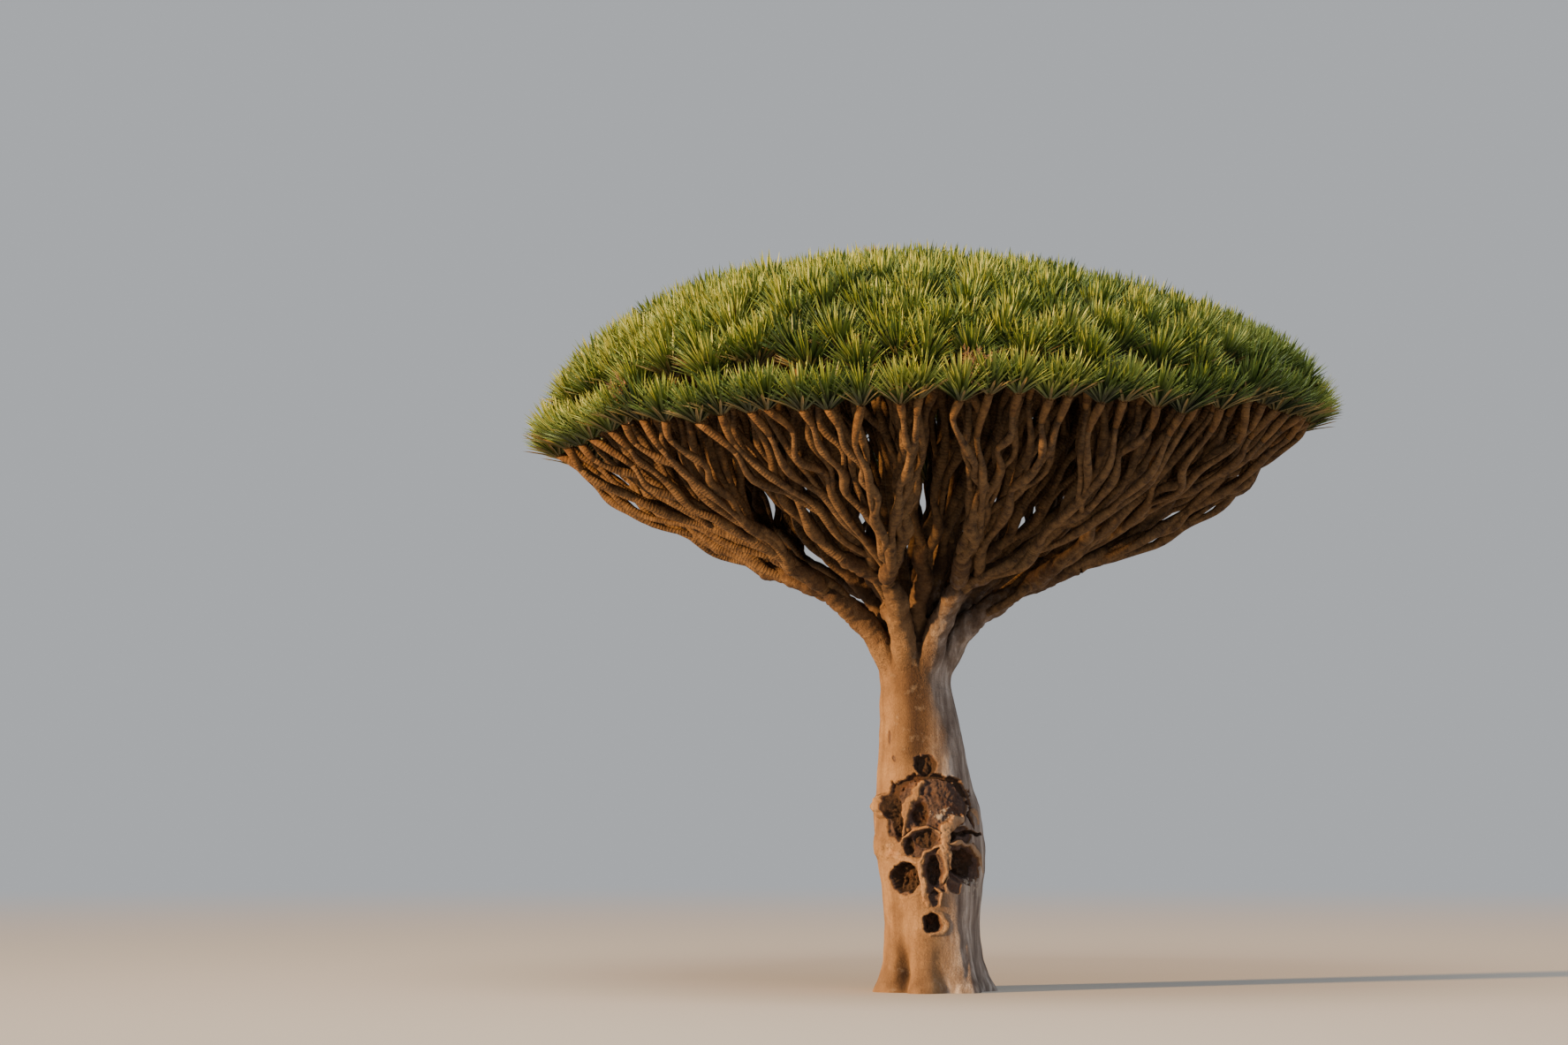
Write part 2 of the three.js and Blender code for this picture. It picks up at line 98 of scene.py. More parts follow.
# The tree's growing rule, as in the frame's own solids
treeRule = {
    "canopyRadius": 3.33,
    "rimHeight": 4.86,
    "domeRise": 1.4,
    "domeFullness": 0.56,
    "domeLean": 0.2,
    "canopySlope": 0.04,
    "rimWaves": [(0.01, 1, math.pi), (0.02, 3, 1), (0.015, 5, 2)],  # size, turns, phase
    "flowOrigin": (-0.15, 0.0, 2.7),
    "wayBends": [(0.05, 0.0), (0.23, 0.49), (0.68, 0.14)],  # out and up, as shares of the reach
    "massRings": [(4, 0.22, 0.5), (8, 0.53, 0.0), (16, 0.84, 0.5)],  # count, share of the radius, turn
    "massPlay": (0.05, 0.24),
    "tipPlay": (0.02, 0.12),
    "rimPlay": (0.006, 0.5),
    "rimInset": 0.3,
    "rimCrowding": 0.35,
    "realRosettes": 700,  # sets the limbs' thickness
    "solidRosettes": 130,  # rosettes of the frame's solids
    "rosettes": 600,  # rosettes made here
    "rosetteSpread": 1.15,  # the canopy's surface, as a share of its plan
    "twigRadius": 0.03,
    "pipeExponent": 0.26,
    "baseSwelling": 0.6,
    "swellingStart": 0.1,
    "swellingReach": 0.16,
    "stubShare": 0.22,
    "forkShare": 0.37,
    "massShare": 0.54,
    "limbWiggle": 0.05,
    "forkHaste": 0.75,
    "handleShare": 0.45,  # a twig's way is a curve with two handles, as long as this share of its reach
    "endLean": 0.8,  # how far the last twigs at the rim lean outwards
    "rosetteLean": 0.3,
    "flowerStalkEvery": 19,
    "flowerStalkStep": 7,
}


def seededRandom(seed):
    state = seed

    def draw():
        nonlocal state
        state = (state * 1664525 + 1013904223) % 4294967296
        return state / 4294967296

    return draw


def canopyPoint(share, angle):
    wave = sum(size * math.cos(turns * angle + phase) for size, turns, phase in treeRule["rimWaves"])
    radius = treeRule["canopyRadius"] * (1 + wave) * share
    x = radius * math.cos(angle)
    fullness = 1 - treeRule["domeLean"] * x / treeRule["canopyRadius"]
    dome = treeRule["domeRise"] * fullness * (1 - share * share) ** treeRule["domeFullness"]
    return np.array([x, radius * math.sin(angle), treeRule["rimHeight"] + dome + treeRule["canopySlope"] * x])


# Twig ends: one row round the rim, and the others by the golden angle inside it
def canopyTips(count, seed):
    draw = seededRandom(seed)
    sharePlay, anglePlay = treeRule["tipPlay"]
    spacing = math.sqrt(math.pi * treeRule["rosetteSpread"] / count)
    rimCount = round(2 * math.pi / spacing)
    within = count - rimCount
    reach = 1 - treeRule["rimInset"] * spacing
    tips = []
    for i in range(within):
        order = (i + 0.5) / (within - 0.5)
        share = reach * math.sqrt(order * (1 + treeRule["rimCrowding"] * (1 - order)))
        angle = i * goldenAngle + anglePlay * (draw() - 0.5)
        tips.append(canopyPoint(share * (1 - sharePlay * draw()), angle))
    sharePlay, anglePlay = treeRule["rimPlay"]
    for i in range(rimCount):
        angle = (i + anglePlay * (draw() - 0.5)) * 2 * math.pi / rimCount
        tips.append(canopyPoint(1 - sharePlay * draw(), angle))
    return tips


def massMiddles():
    draw = seededRandom(11)
    sharePlay, anglePlay = treeRule["massPlay"]
    rings = []
    for count, share, turn in treeRule["massRings"]:
        ring = []
        for i in range(count):
            angle = (i + turn + anglePlay * (draw() - 0.5)) * 2 * math.pi / count
            ring.append(canopyPoint(share + sharePlay * (draw() - 0.5), angle))
        rings.append(ring)
    return rings


def flowPoint(target, share):
    origin = np.array(treeRule["flowOrigin"])
    reach = np.asarray(target) - origin
    bends = [origin + reach * (out, out, up) for out, up in treeRule["wayBends"]]
    left = 1 - share
    weights = (left**3, 3 * left * left * share, 3 * left * share * share, share**3)
    return sum(weight * point for weight, point in zip(weights, bends + [target]))


def limbRadius(rosettes, share):
    fade = math.exp(-max(0, share - treeRule["swellingStart"]) / treeRule["swellingReach"])
    thickness = treeRule["twigRadius"] * rosettes ** treeRule["pipeExponent"]
    return thickness * (1 + treeRule["baseSwelling"] * fade)


# Boughs as chains of (point, radius) from the trunk's head to where the foliage begins. A branch is
# a list of one or two masses' middles, of which the first carries the bough on.
def growLimbs(mainBranches, rosettesPerMass):
    draw = seededRandom(29)
    limbs = []

    def nodeAt(branch, share, wiggle):
        play = np.array([draw() - 0.5, draw() - 0.5, draw() - 0.5])
        point = flowPoint(sum(branch) / len(branch), share) + play * 2 * wiggle
        return point, limbRadius(len(branch) * rosettesPerMass, share)

    def finish(limb, middle):
        limb["nodes"].append(nodeAt([middle], treeRule["massShare"], 0))
        limb["middle"] = middle
        limbs.append(limb)

    stub = treeRule["stubShare"]
    for branch in mainBranches:
        foot = [nodeAt(branch, share, 0) for share in (0, stub / 2, stub)]
        fork = nodeAt(branch, treeRule["forkShare"], treeRule["limbWiggle"])
        finish({"nodes": foot + [fork], "main": True}, branch[0])
        for middle in branch[1:]:
            sideRadius = limbRadius(rosettesPerMass, treeRule["forkShare"])
            finish({"nodes": [(fork[0], sideRadius)], "main": False}, middle)
    return limbs


# Splits twig ends in two across their longest plan distance
def halves(tips):
    plan = np.array(tips)[:, :2]
    apart = ((plan[:, None] - plan[None]) ** 2).sum(2)
    first, second = np.unravel_index(apart.argmax(), apart.shape)
    order = np.argsort(plan @ (plan[second] - plan[first]), kind="stable")
    middle = (len(tips) + 1) // 2
    return [tips[i] for i in order[:middle]], [tips[i] for i in order[middle:]]


# A twig's way: a curve that leaves along its limb and ends upwards, outwards too at the rim
def twigWay(start, along, target, share):
    out = np.array([target[0], target[1], 0]) / treeRule["canopyRadius"]
    end = out * treeRule["endLean"] * np.linalg.norm(out) + np.array([0, 0, 1])
    handle = treeRule["handleShare"] * np.linalg.norm(target - start)
    near = start + along * handle
    far = target - end / np.linalg.norm(end) * handle
    left = 1 - share
    point = left**3 * start + 3 * left * left * share * near
    point = point + 3 * left * share * share * far + share**3 * target
    way = left * left * (near - start) + 2 * left * share * (far - near) + share * share * (target - far)
    return point, way / np.linalg.norm(way)


# Twig paths of one mass, each a list of (point, radius), from its stem to each tip
def growTwigs(path, along, tips, paths):
    start = path[-1][0]
    radius = limbRadius(len(tips) * treeRule["realRosettes"] / treeRule["rosettes"], 1)
    if len(tips) == 1:
        path += [(twigWay(start, along, tips[0], share)[0], radius) for share in (0.5, 1)]
        paths.append(path)
        return
    first, second = halves(tips)
    step = treeRule["forkHaste"] / (math.log2(len(tips)) + 1)
    point, way = twigWay(start, along, sum(tips) / len(tips), step)
    path.append((point, radius))
    growTwigs(path, way, first, paths)
    growTwigs([(point, radius * twigShape["sideRoot"])], way, second, paths)


def rosetteAxis(tip):
    out = np.array([tip[0], tip[1], 0]) / treeRule["canopyRadius"]
    axis = out * treeRule["rosetteLean"] * np.linalg.norm(out) + np.array([0, 0, 1])
    return axis / np.linalg.norm(axis)


innerRing, middleRing, rimRing = massMiddles()
allMiddles = innerRing + middleRing + rimRing
rimPairs = [rimRing[i : i + 2] for i in range(0, len(rimRing), 2)]
mainBranches = rimPairs + [[middle] for middle in middleRing + innerRing]
limbs = growLimbs(mainBranches, treeRule["realRosettes"] / len(allMiddles))


def ownTips(tips, middle):
    own = []
    for tip in tips:
        distances = [math.hypot(*(tip - m)[:2]) for m in allMiddles]
        if allMiddles[int(np.argmin(distances))] is middle:
            own.append(tip)
    return own


report(f"grown {len(limbs)} boughs")


# Mesh helpers for what is made in numbers too many to model by hand
def meshObject(name, vertices, faces, material, uv=None):
    mesh = bpy.data.meshes.new(name)
    mesh.from_pydata(vertices.tolist(), [], [face for block in faces for face in block.tolist()])
    if uv is not None:
        layer = mesh.uv_layers.new(name="along")
        corner = np.empty(len(mesh.loops), dtype=np.int32)
        mesh.loops.foreach_get("vertex_index", corner)
        layer.data.foreach_set("uv", uv[corner].astype(np.float32).ravel())
    mesh.materials.append(material)
    thing = bpy.data.objects.new(name, mesh)
    bpy.context.collection.objects.link(thing)
    return thing


# One mesh of many tubes, each given as points and radii. Round ones are smooth, with flat ends.
def tubesObject(name, tubes, sides, material, smooth):
    parts, count = [], 0
    for points, radii in tubes:
        parts.append(tubeArrays(points, radii, sides, count))
        count += len(parts[-1][0])
    vertices, quads, ends, uv = (np.vstack(part) for part in zip(*parts))
    piece = meshObject(name, vertices, [quads, ends], material, uv if smooth else None)
    shading = [smooth] * len(quads) + [False] * len(ends)
    piece.data.polygons.foreach_set("use_smooth", shading)
    return piece


def nodesOf(kind):
    return [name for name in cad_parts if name.startswith(kind)]


# A piece of the look that stands in for solids of the part
def standIn(piece, nodes):
    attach(piece, "root")
    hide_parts(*nodes)
    report(f"made {piece.name}, {len(piece.data.polygons)} faces")


def wayLengths(points):
    return np.concatenate([[0], np.cumsum(np.linalg.norm(np.diff(points, axis=0), axis=1))])


# A smooth way through nodes: points, radii and the place between nodes, steps to a span
def smoothWay(nodes, steps):
    points = np.array([node[0] for node in nodes], dtype=float)
    radii = np.array([node[1] for node in nodes], dtype=float)
    padded = np.vstack([2 * points[0] - points[1], points, 2 * points[-1] - points[-2]])
    way = []
    for i in range(len(points) - 1):
        p0, p1, p2, p3 = padded[i : i + 4]
        for t in np.arange(steps) / steps:
            curve = 2 * p0 - 5 * p1 + 4 * p2 - p3 + t * (3 * (p1 - p2) + p3 - p0)
            place = p1 + 0.5 * t * (p2 - p0 + t * curve)
            way.append((place, radii[i] + (radii[i + 1] - radii[i]) * t, i + t))
    way.append((points[-1], radii[-1], len(points) - 1))
    return np.array([w[0] for w in way]), np.array([w[1] for w in way]), np.array([w[2] for w in way])


# Rings of vertices round a way, without twist, the quads between them and the faces that close the ends
def tubeArrays(points, radii, sides, firstVertex):
    along = np.gradient(points, axis=0)
    along /= np.linalg.norm(along, axis=1)[:, None]
    across = np.array([0.31, 0.83, 0.46])
    angles = np.arange(sides) * 2 * math.pi / sides
    rings = []
    for point, way, radius in zip(points, along, radii):
        across = across - way * across.dot(way)
        across /= np.linalg.norm(across)
        other = np.cross(way, across)
        rings.append(point + radius * (np.cos(angles)[:, None] * across + np.sin(angles)[:, None] * other))
    count = len(points)
    ring = np.arange(count - 1)[:, None] * sides
    side = np.arange(sides)[None]
    nextSide = (side + 1) % sides
    quads = np.stack([ring + side, ring + nextSide, ring + sides + nextSide, ring + sides + side], axis=2)
    around = np.minimum(angles / math.pi, 2 - angles / math.pi)
    uv = np.stack(np.broadcast_arrays(wayLengths(points)[:, None], around[None]), axis=2).reshape(-1, 2)
    ends = np.stack([np.arange(sides)[::-1], (count - 1) * sides + np.arange(sides)])
    return np.vstack(rings), quads.reshape(-1, 4) + firstVertex, ends + firstVertex, uv


# Trunk: rows of a circle extruded along its outline, in metres
trunkShape = {
    "outline": [
        (-0.12, 0.56), (0.0, 0.54), (0.11, 0.492), (0.3, 0.455), (0.6, 0.442), (0.9, 0.465), (1.25, 0.508),
        (1.6, 0.5), (1.85, 0.448), (2.15, 0.414), (2.5, 0.378), (2.75, 0.352), (2.9, 0.372), (2.99, 0.38),
    ],
    "lean": [(-0.12, 0.0), (0.9, 0.0), (1.6, -0.05), (2.15, -0.092), (2.78, -0.155), (2.99, -0.15)],
    "sides": 72,
    "rowHeight": 0.08,
    "flareLobes": 7,
    "flareDepth": 0.09,
    "flareHeight": 0.33,
    "waves": [(0.03, 2, 0.7), (0.02, 5, -0.3)],  # size, turns, rise
}
barkMesh = {
    "voxel": 0.022,
    "smoothing": 4,
    "fine": [(-1.0, 3.2, 0.1), (0.45, 1.8, 1.0), (2.5, 3.2, 1.0)],  # from, to, and how far back it is split
    "finest": [(0.47, 2.17, -0.1)],  # and split again round the scars
    "kept": 0.72,  # share of the carved faces that thinning keeps
    "seam": 2.62,  # height of the cut between the trunk's bark and the boughs'
}


def onOutline(pairs, x):
    xs, values = zip(*pairs)
    i = min(max(int(np.searchsorted(xs, x, side="right")) - 1, 0), len(xs) - 2)
    straight = min(max((x - xs[i]) / (xs[i + 1] - xs[i]), 0), 1)
    smooth = straight * straight * (3 - 2 * straight)
    return values[i] + (values[i + 1] - values[i]) * 0.5 * (straight + smooth)


def addTrunkCore():
    outline = trunkShape["outline"]
    bottom, top = outline[0][0], outline[-1][0]
    rows = round((top - bottom) / trunkShape["rowHeight"])
    heights = np.linspace(bottom, top, rows + 1)
    radii = [onOutline(outline, z) for z in heights]
    leans = [onOutline(trunkShape["lean"], z) for z in heights]
    deselectAll()
    bpy.ops.mesh.primitive_circle_add(
        vertices=trunkShape["sides"], radius=radii[0], fill_type="NGON", location=(leans[0], 0, bottom)
    )
    trunk = bpy.context.object
    bpy.ops.object.mode_set(mode="EDIT")
    bpy.ops.mesh.select_all(action="SELECT")
    for i in range(rows):
        move = (leans[i + 1] - leans[i], 0, heights[i + 1] - heights[i])
        bpy.ops.mesh.extrude_region_move(TRANSFORM_OT_translate={"value": move})
        grow = radii[i + 1] / radii[i]
        middle = (leans[i + 1], 0, heights[i + 1])
        bpy.ops.transform.resize(value=(grow, grow, 1), center_override=middle)
    bpy.ops.mesh.select_all(action="SELECT")
    bpy.ops.mesh.normals_make_consistent(inside=False)
    bpy.ops.object.mode_set(mode="OBJECT")
    bpy.ops.object.transform_apply(location=True, rotation=True, scale=True)
    for vertex in trunk.data.vertices:
        z = vertex.co.z
        lean = onOutline(trunkShape["lean"], z)
        angle = math.atan2(vertex.co.y, vertex.co.x - lean)
        lobe = 0.5 + 0.5 * math.cos(trunkShape["flareLobes"] * angle + 0.6 + 0.8 * math.sin(angle))
        flare = trunkShape["flareDepth"] * (lobe * math.exp(-max(z, 0) / trunkShape["flareHeight"]) - 1 / 3)
        wave = sum(size * math.sin(turns * angle + z / rise) for size, turns, rise in trunkShape["waves"])
        reach = math.hypot(vertex.co.x - lean, vertex.co.y) * (1 + wave) + flare
        vertex.co.x = lean + reach * math.cos(angle)
        vertex.co.y = reach * math.sin(angle)
    return trunk


# Boughs as one curve object, a spline to each, turned to a mesh
limbShape = {
    "steps": 6,
    "bevelSteps": 6,
    "clubbing": 0.06,
    "endShare": 0.75,  # of the last point's radius
    "sidewaysBends": (3.7, 0.16),  # scale, and size as a share of the length
    "upwardBends": (2.9, 0.05),  # scale, and size in metres
    "brokenStub": {
        "across": -0.42, "height": 3.38, "length": 0.22, "radii": (0.1, 0.1, 0.1, 0.1, 0.09, 0.07),
    },
}


def addSpline(curve, points, radii):
    spline = curve.splines.new("POLY")
    spline.points.add(len(points) - 1)
    for slot, point, radius in zip(spline.points, points, radii):
        slot.co = (*point, 1)
        slot.radius = radius


def addLimbTubes():
    curve = bpy.data.curves.new("limbTubes", "CURVE")
    curve.dimensions = "3D"
    curve.bevel_depth = 1.0
    curve.bevel_resolution = limbShape["bevelSteps"]
    curve.use_fill_caps = True
    samples = []
    for number, limb in enumerate(limbs):
        points, radii, places = limbWay(limb)
        radii = radii * clubbed(places, limbShape["clubbing"])
        radii[-1] *= limbShape["endShare"]
        addSpline(curve, points, radii)
        samples += [(*sample, number) for sample in zip(points, wayLengths(points), radii)]
    addBrokenStub(curve, [sample[0] for sample in samples])
    tubes = bpy.data.objects.new("limbTubes", curve)
    bpy.context.collection.objects.link(tubes)
    deselectAll()
    tubes.select_set(True)
    bpy.context.view_layer.objects.active = tubes
    bpy.ops.object.convert(target="MESH")
    return bpy.context.object, samples


# The round end of a bough that broke off, on the front of the nearest bough behind it
def addBrokenStub(curve, points):
    stub = limbShape["brokenStub"]
    front = [p for p in points if p[1] < 0]
    root = min(front, key=lambda p: math.hypot(p[0] - stub["across"], p[2] - stub["height"]))
    tip = np.array([stub["across"], root[1] - stub["length"], stub["height"]])
    last = len(stub["radii"]) - 1
    addSpline(curve, [root + (tip - root) * i / last for i in range(last + 1)], stub["radii"])


# Each length between forks is narrow in its first half and swells towards the next fork
def clubbed(places, size):
    return 1 + size * np.sin(2 * math.pi * (places - 0.6))


# A bough's nodes with a bend put in between them
def limbNodes(limb):
    sidewaysScale, sideways = limbShape["sidewaysBends"]
    upScale, up = limbShape["upwardBends"]
    nodes = limb["nodes"]
    start = 3 if limb["main"] else 1
    full = list(nodes[:start])
    for before, after in zip(nodes[start - 1 :], nodes[start:]):
        reach = after[0] - before[0]
        swing = noise.noise(Vector(before[0] * sidewaysScale)) * sideways
        middle = (before[0] + after[0]) / 2 + np.cross(reach, (0, 0, 1)) * swing
        middle[2] += noise.noise(Vector(after[0] * upScale)) * up
        full += [(middle, (before[1] + after[1]) / 2), after]
    return full


def limbWay(limb):
    return smoothWay(limbNodes(limb), limbShape["steps"])


# The bark's look. Tones are a place from 0 to 1 and a colour, and scales are turns to a metre. Values past
# 1 get the last colour given for 1.
barkLook = {
    "trunkTone": [(0.3, "#745B43"), (0.72, "#A18462"), (0.5, "#8D7052")],
    # The grey tone is painted cool shade for the trunk's right side, away from the sun, with pale streaks in
    # it
    "greyTone": [(0.36, "#7A7271"), (0.66, "#BEB6B2"), (0.5, "#978E89")],
    "streakTone": [(0.35, "#A59A94"), (0.62, "#FFFFFF")],
    "boughTone": [(0.3, "#2D1F15"), (0.72, "#7B6140"), (0.5, "#503B27")],
    "callusTone": [(0.38, "#8A6647"), (0.56, "#AA8B6A")],
    "scarTone": [(0.5, "#74583F"), (1.0, "#1E1512"), (0.8, "#574743"), (1.0, "#38291F")],
    "scarRust": "#5E3A24",
    # The brown band's colour, which is also laid into the furrows as painted shade
    "stain": "#36271F",
    "palePatches": "#C6BDB0",
    # Painted shade in the creases between the boughs
    "creases": "#2E2018",
    "flakes": "#A79F95",
    "noises": [  # scale, detail, roughness
        ("broad", 3.2, 6.0, 0.6), ("patches", 7.0, 7.0, 0.7),
        ("fine", 22.0, 6.0, 0.65), ("grain", 55.0, 8.0, 0.7),
    ],
    "streakScale": (11.0, 11.0, 0.9),
    "boughsFrom": (3.25, 4.1),
    "roughFrom": (2.95, 3.5),
    "crackScale": 48.0,
    "crackWidth": 0.07,  # of a crack's own cell
    "bumpDepth": 0.01,
}


def barkMaterial():
    # Dragon tree bark: smooth, thin and tan on the trunk, with painted cool grey shade down its right side,
    # wrinkled and brown on the boughs
    look = barkLook
    place = {"Vector": "place.Object"}
    rows = [
        ("place", "TexCoord", {}, {}),
        ("height", "SeparateXYZ", {}, place),
        ("streakPlace", "Mapping", {"Scale": look["streakScale"]}, place),
        ("streaks", "TexNoise", {"Scale": 1.0, "Detail": 6.0, "Roughness": 0.6}, {"Vector": "streakPlace"}),
    ]
    for name, scale, detail, roughness in look["noises"]:
        rows.append((name, "TexNoise", {"Scale": scale, "Detail": detail, "Roughness": roughness}, place))
    for mark in ("grey", "stain", "crease", "callus", "scar", "flakes"):
        rows.append((mark, "Attribute", {"attribute_name": mark}, {}))

    # A net of cracks, bent by noise
    add = {"operation": "MULTIPLY_ADD"}
    voronoi = {"feature": "DISTANCE_TO_EDGE", "Scale": look["crackScale"], "Randomness": 1.0}
    rows += [
        ("bends", "TexNoise", {"Scale": 12.0, "Detail": 4.0}, place),
        ("bentPlace", "VectorMath", {**add, 1: (0.06, 0.06, 0.06)}, {0: "bends.Color", 2: "place.Object"}),
        ("crackPlace", "Mapping", {"Scale": (1.0, 1.0, 0.5)}, {"Vector": "bentPlace"}),
        ("crackCells", "TexVoronoi", voronoi, {"Vector": "crackPlace"}),
        ("boughEdge", "Math", {**add, 1: 0.9}, {0: "fine", 2: "height.Z"}),
        ("roughEdge", "Math", {**add, 1: 0.6}, {0: "fine", 2: "height.Z"}),
        ("raggedScar", "Math", {**add, 1: 0.5}, {0: "fine", 2: "scar.Fac"}),
    ]

    # Shares: what they come from, between which two of its values they rise, and from what to what
    for name, source, low, high, least, most in (
        ("shadeSideStreaks", "streaks", 0.3, 0.6, 0.75, 1),
        ("bandStreaks", "streaks", 0.35, 0.6, 0.8, 1),
        ("paleShare", "patches", 0.58, 0.68, 0, 0.15),
        ("boughShare", "boughEdge", *look["boughsFrom"], 0, 1),
        ("roughShare", "roughEdge", *look["roughFrom"], 0, 1),
        # How dark the creases between the boughs are painted, as shade
        ("creaseShare", "crease.Fac", 0.1, 0.9, 0, 0.85),
        ("callusShare", "callus.Fac", 0.2, 0.8, 0, 0.8),
        ("rustShare", "patches", 0.5, 0.62, 0, 0.35),
        ("scarShare", "raggedScar", 0.4, 0.52, 0, 1),
        ("flakePatches", "fine", 0.5, 0.58, 0, 1),
        ("crackPatches", "fine", 0.45, 0.6, 0, 1),
        ("crackEdges", "crackCells", 0, look["crackWidth"], 0, 1),
    ):
        settings = {"From Min": low, "From Max": high, "To Min": least, "To Max": most}
        rows.append((name, "MapRange", settings, {"Value": source}))
    for name, one, other in (
        ("greyShare", "grey.Fac", "shadeSideStreaks"), ("stainShare", "stain.Fac", "bandStreaks"),
        ("flakeShare", "flakes.Fac", "flakePatches"), ("rough", "roughShare", "patches"),
        ("fineRough", "roughShare", "fine"),
    ):
        rows.append((name, "Math", {"operation": "MULTIPLY"}, {0: one, 1: other}))

    # Relief: cracks and grain all over, and wrinkles on the boughs
    rows += [
        ("cracks", "Math", {**add, 1: 0.3}, {0: "crackPatches", 2: "crackEdges"}),
        ("crackShade", "MapRange", {"To Min": 0.88}, {"Value": "cracks"}),
        ("grained", "Math", {**add, 1: 2.6}, {0: "grain", 2: "cracks"}),
        ("lumpy", "Math", {**add, 1: 6.0}, {0: "rough", 2: "grained"}),
        ("relief", "Math", {**add, 1: 6.0}, {0: "fineRough", 2: "lumpy"}),
        ("bump", "Bump", {"Strength": 0.6, "Distance": look["bumpDepth"]}, {"Height": "relief"}),
    ]

    # Layers over the trunk's tone: name, share and tone. Where the share is a number, tones are multiplied.
    for name, source in (
        ("trunkTone", "broad"), ("greyTone", "streaks"), ("streakTone", "streaks"), ("boughTone", "patches"),
        ("callusTone", "patches"), ("scarTone", "raggedScar"),
    ):
        rows.append((name, "ValToRGB", {"stops": look[name]}, {"Fac": source}))
    mix = {"data_type": "RGBA"}
    rows.append(("rustyScar", "Mix", {**mix, 7: look["scarRust"]}, {0: "rustShare", 6: "scarTone"}))
    under = "trunkTone"
    for layer, share, over in (
        # The first of these layers paints the trunk's right side cool grey, as shade away from the sun
        ("shadeSideGreyed", "greyShare", "greyTone"), ("bandAndFurrowShaded", "stainShare", look["stain"]),
        ("streaked", 0.55, "streakTone"), ("patched", "paleShare", look["palePatches"]),
        # The dark crease tone among these is painted shade between the boughs
        ("boughs", "boughShare", "boughTone"), ("creaseShaded", "creaseShare", look["creases"]),
        ("healed", "callusShare", "callusTone"), ("scarred", "scarShare", "rustyScar"),
        ("flaked", "flakeShare", look["flakes"]), ("cracked", 1.0, "crackShade"),
    ):
        settings, links = dict(mix), {6: under}
        if isinstance(share, float):
            settings.update({"blend_type": "MULTIPLY", 0: share})
        else:
            links[0] = share
        (settings if over[0] == "#" else links)[7] = over
        rows.append((layer, "Mix", settings, links))
        under = layer
    finish = {"Roughness": 0.8, "Specular IOR Level": 0.3}
    rows.append(("shader", "BsdfPrincipled", finish, {"Base Color": under, "Normal": "bump"}))
    return newMaterial("dragonTreeBark", rows)


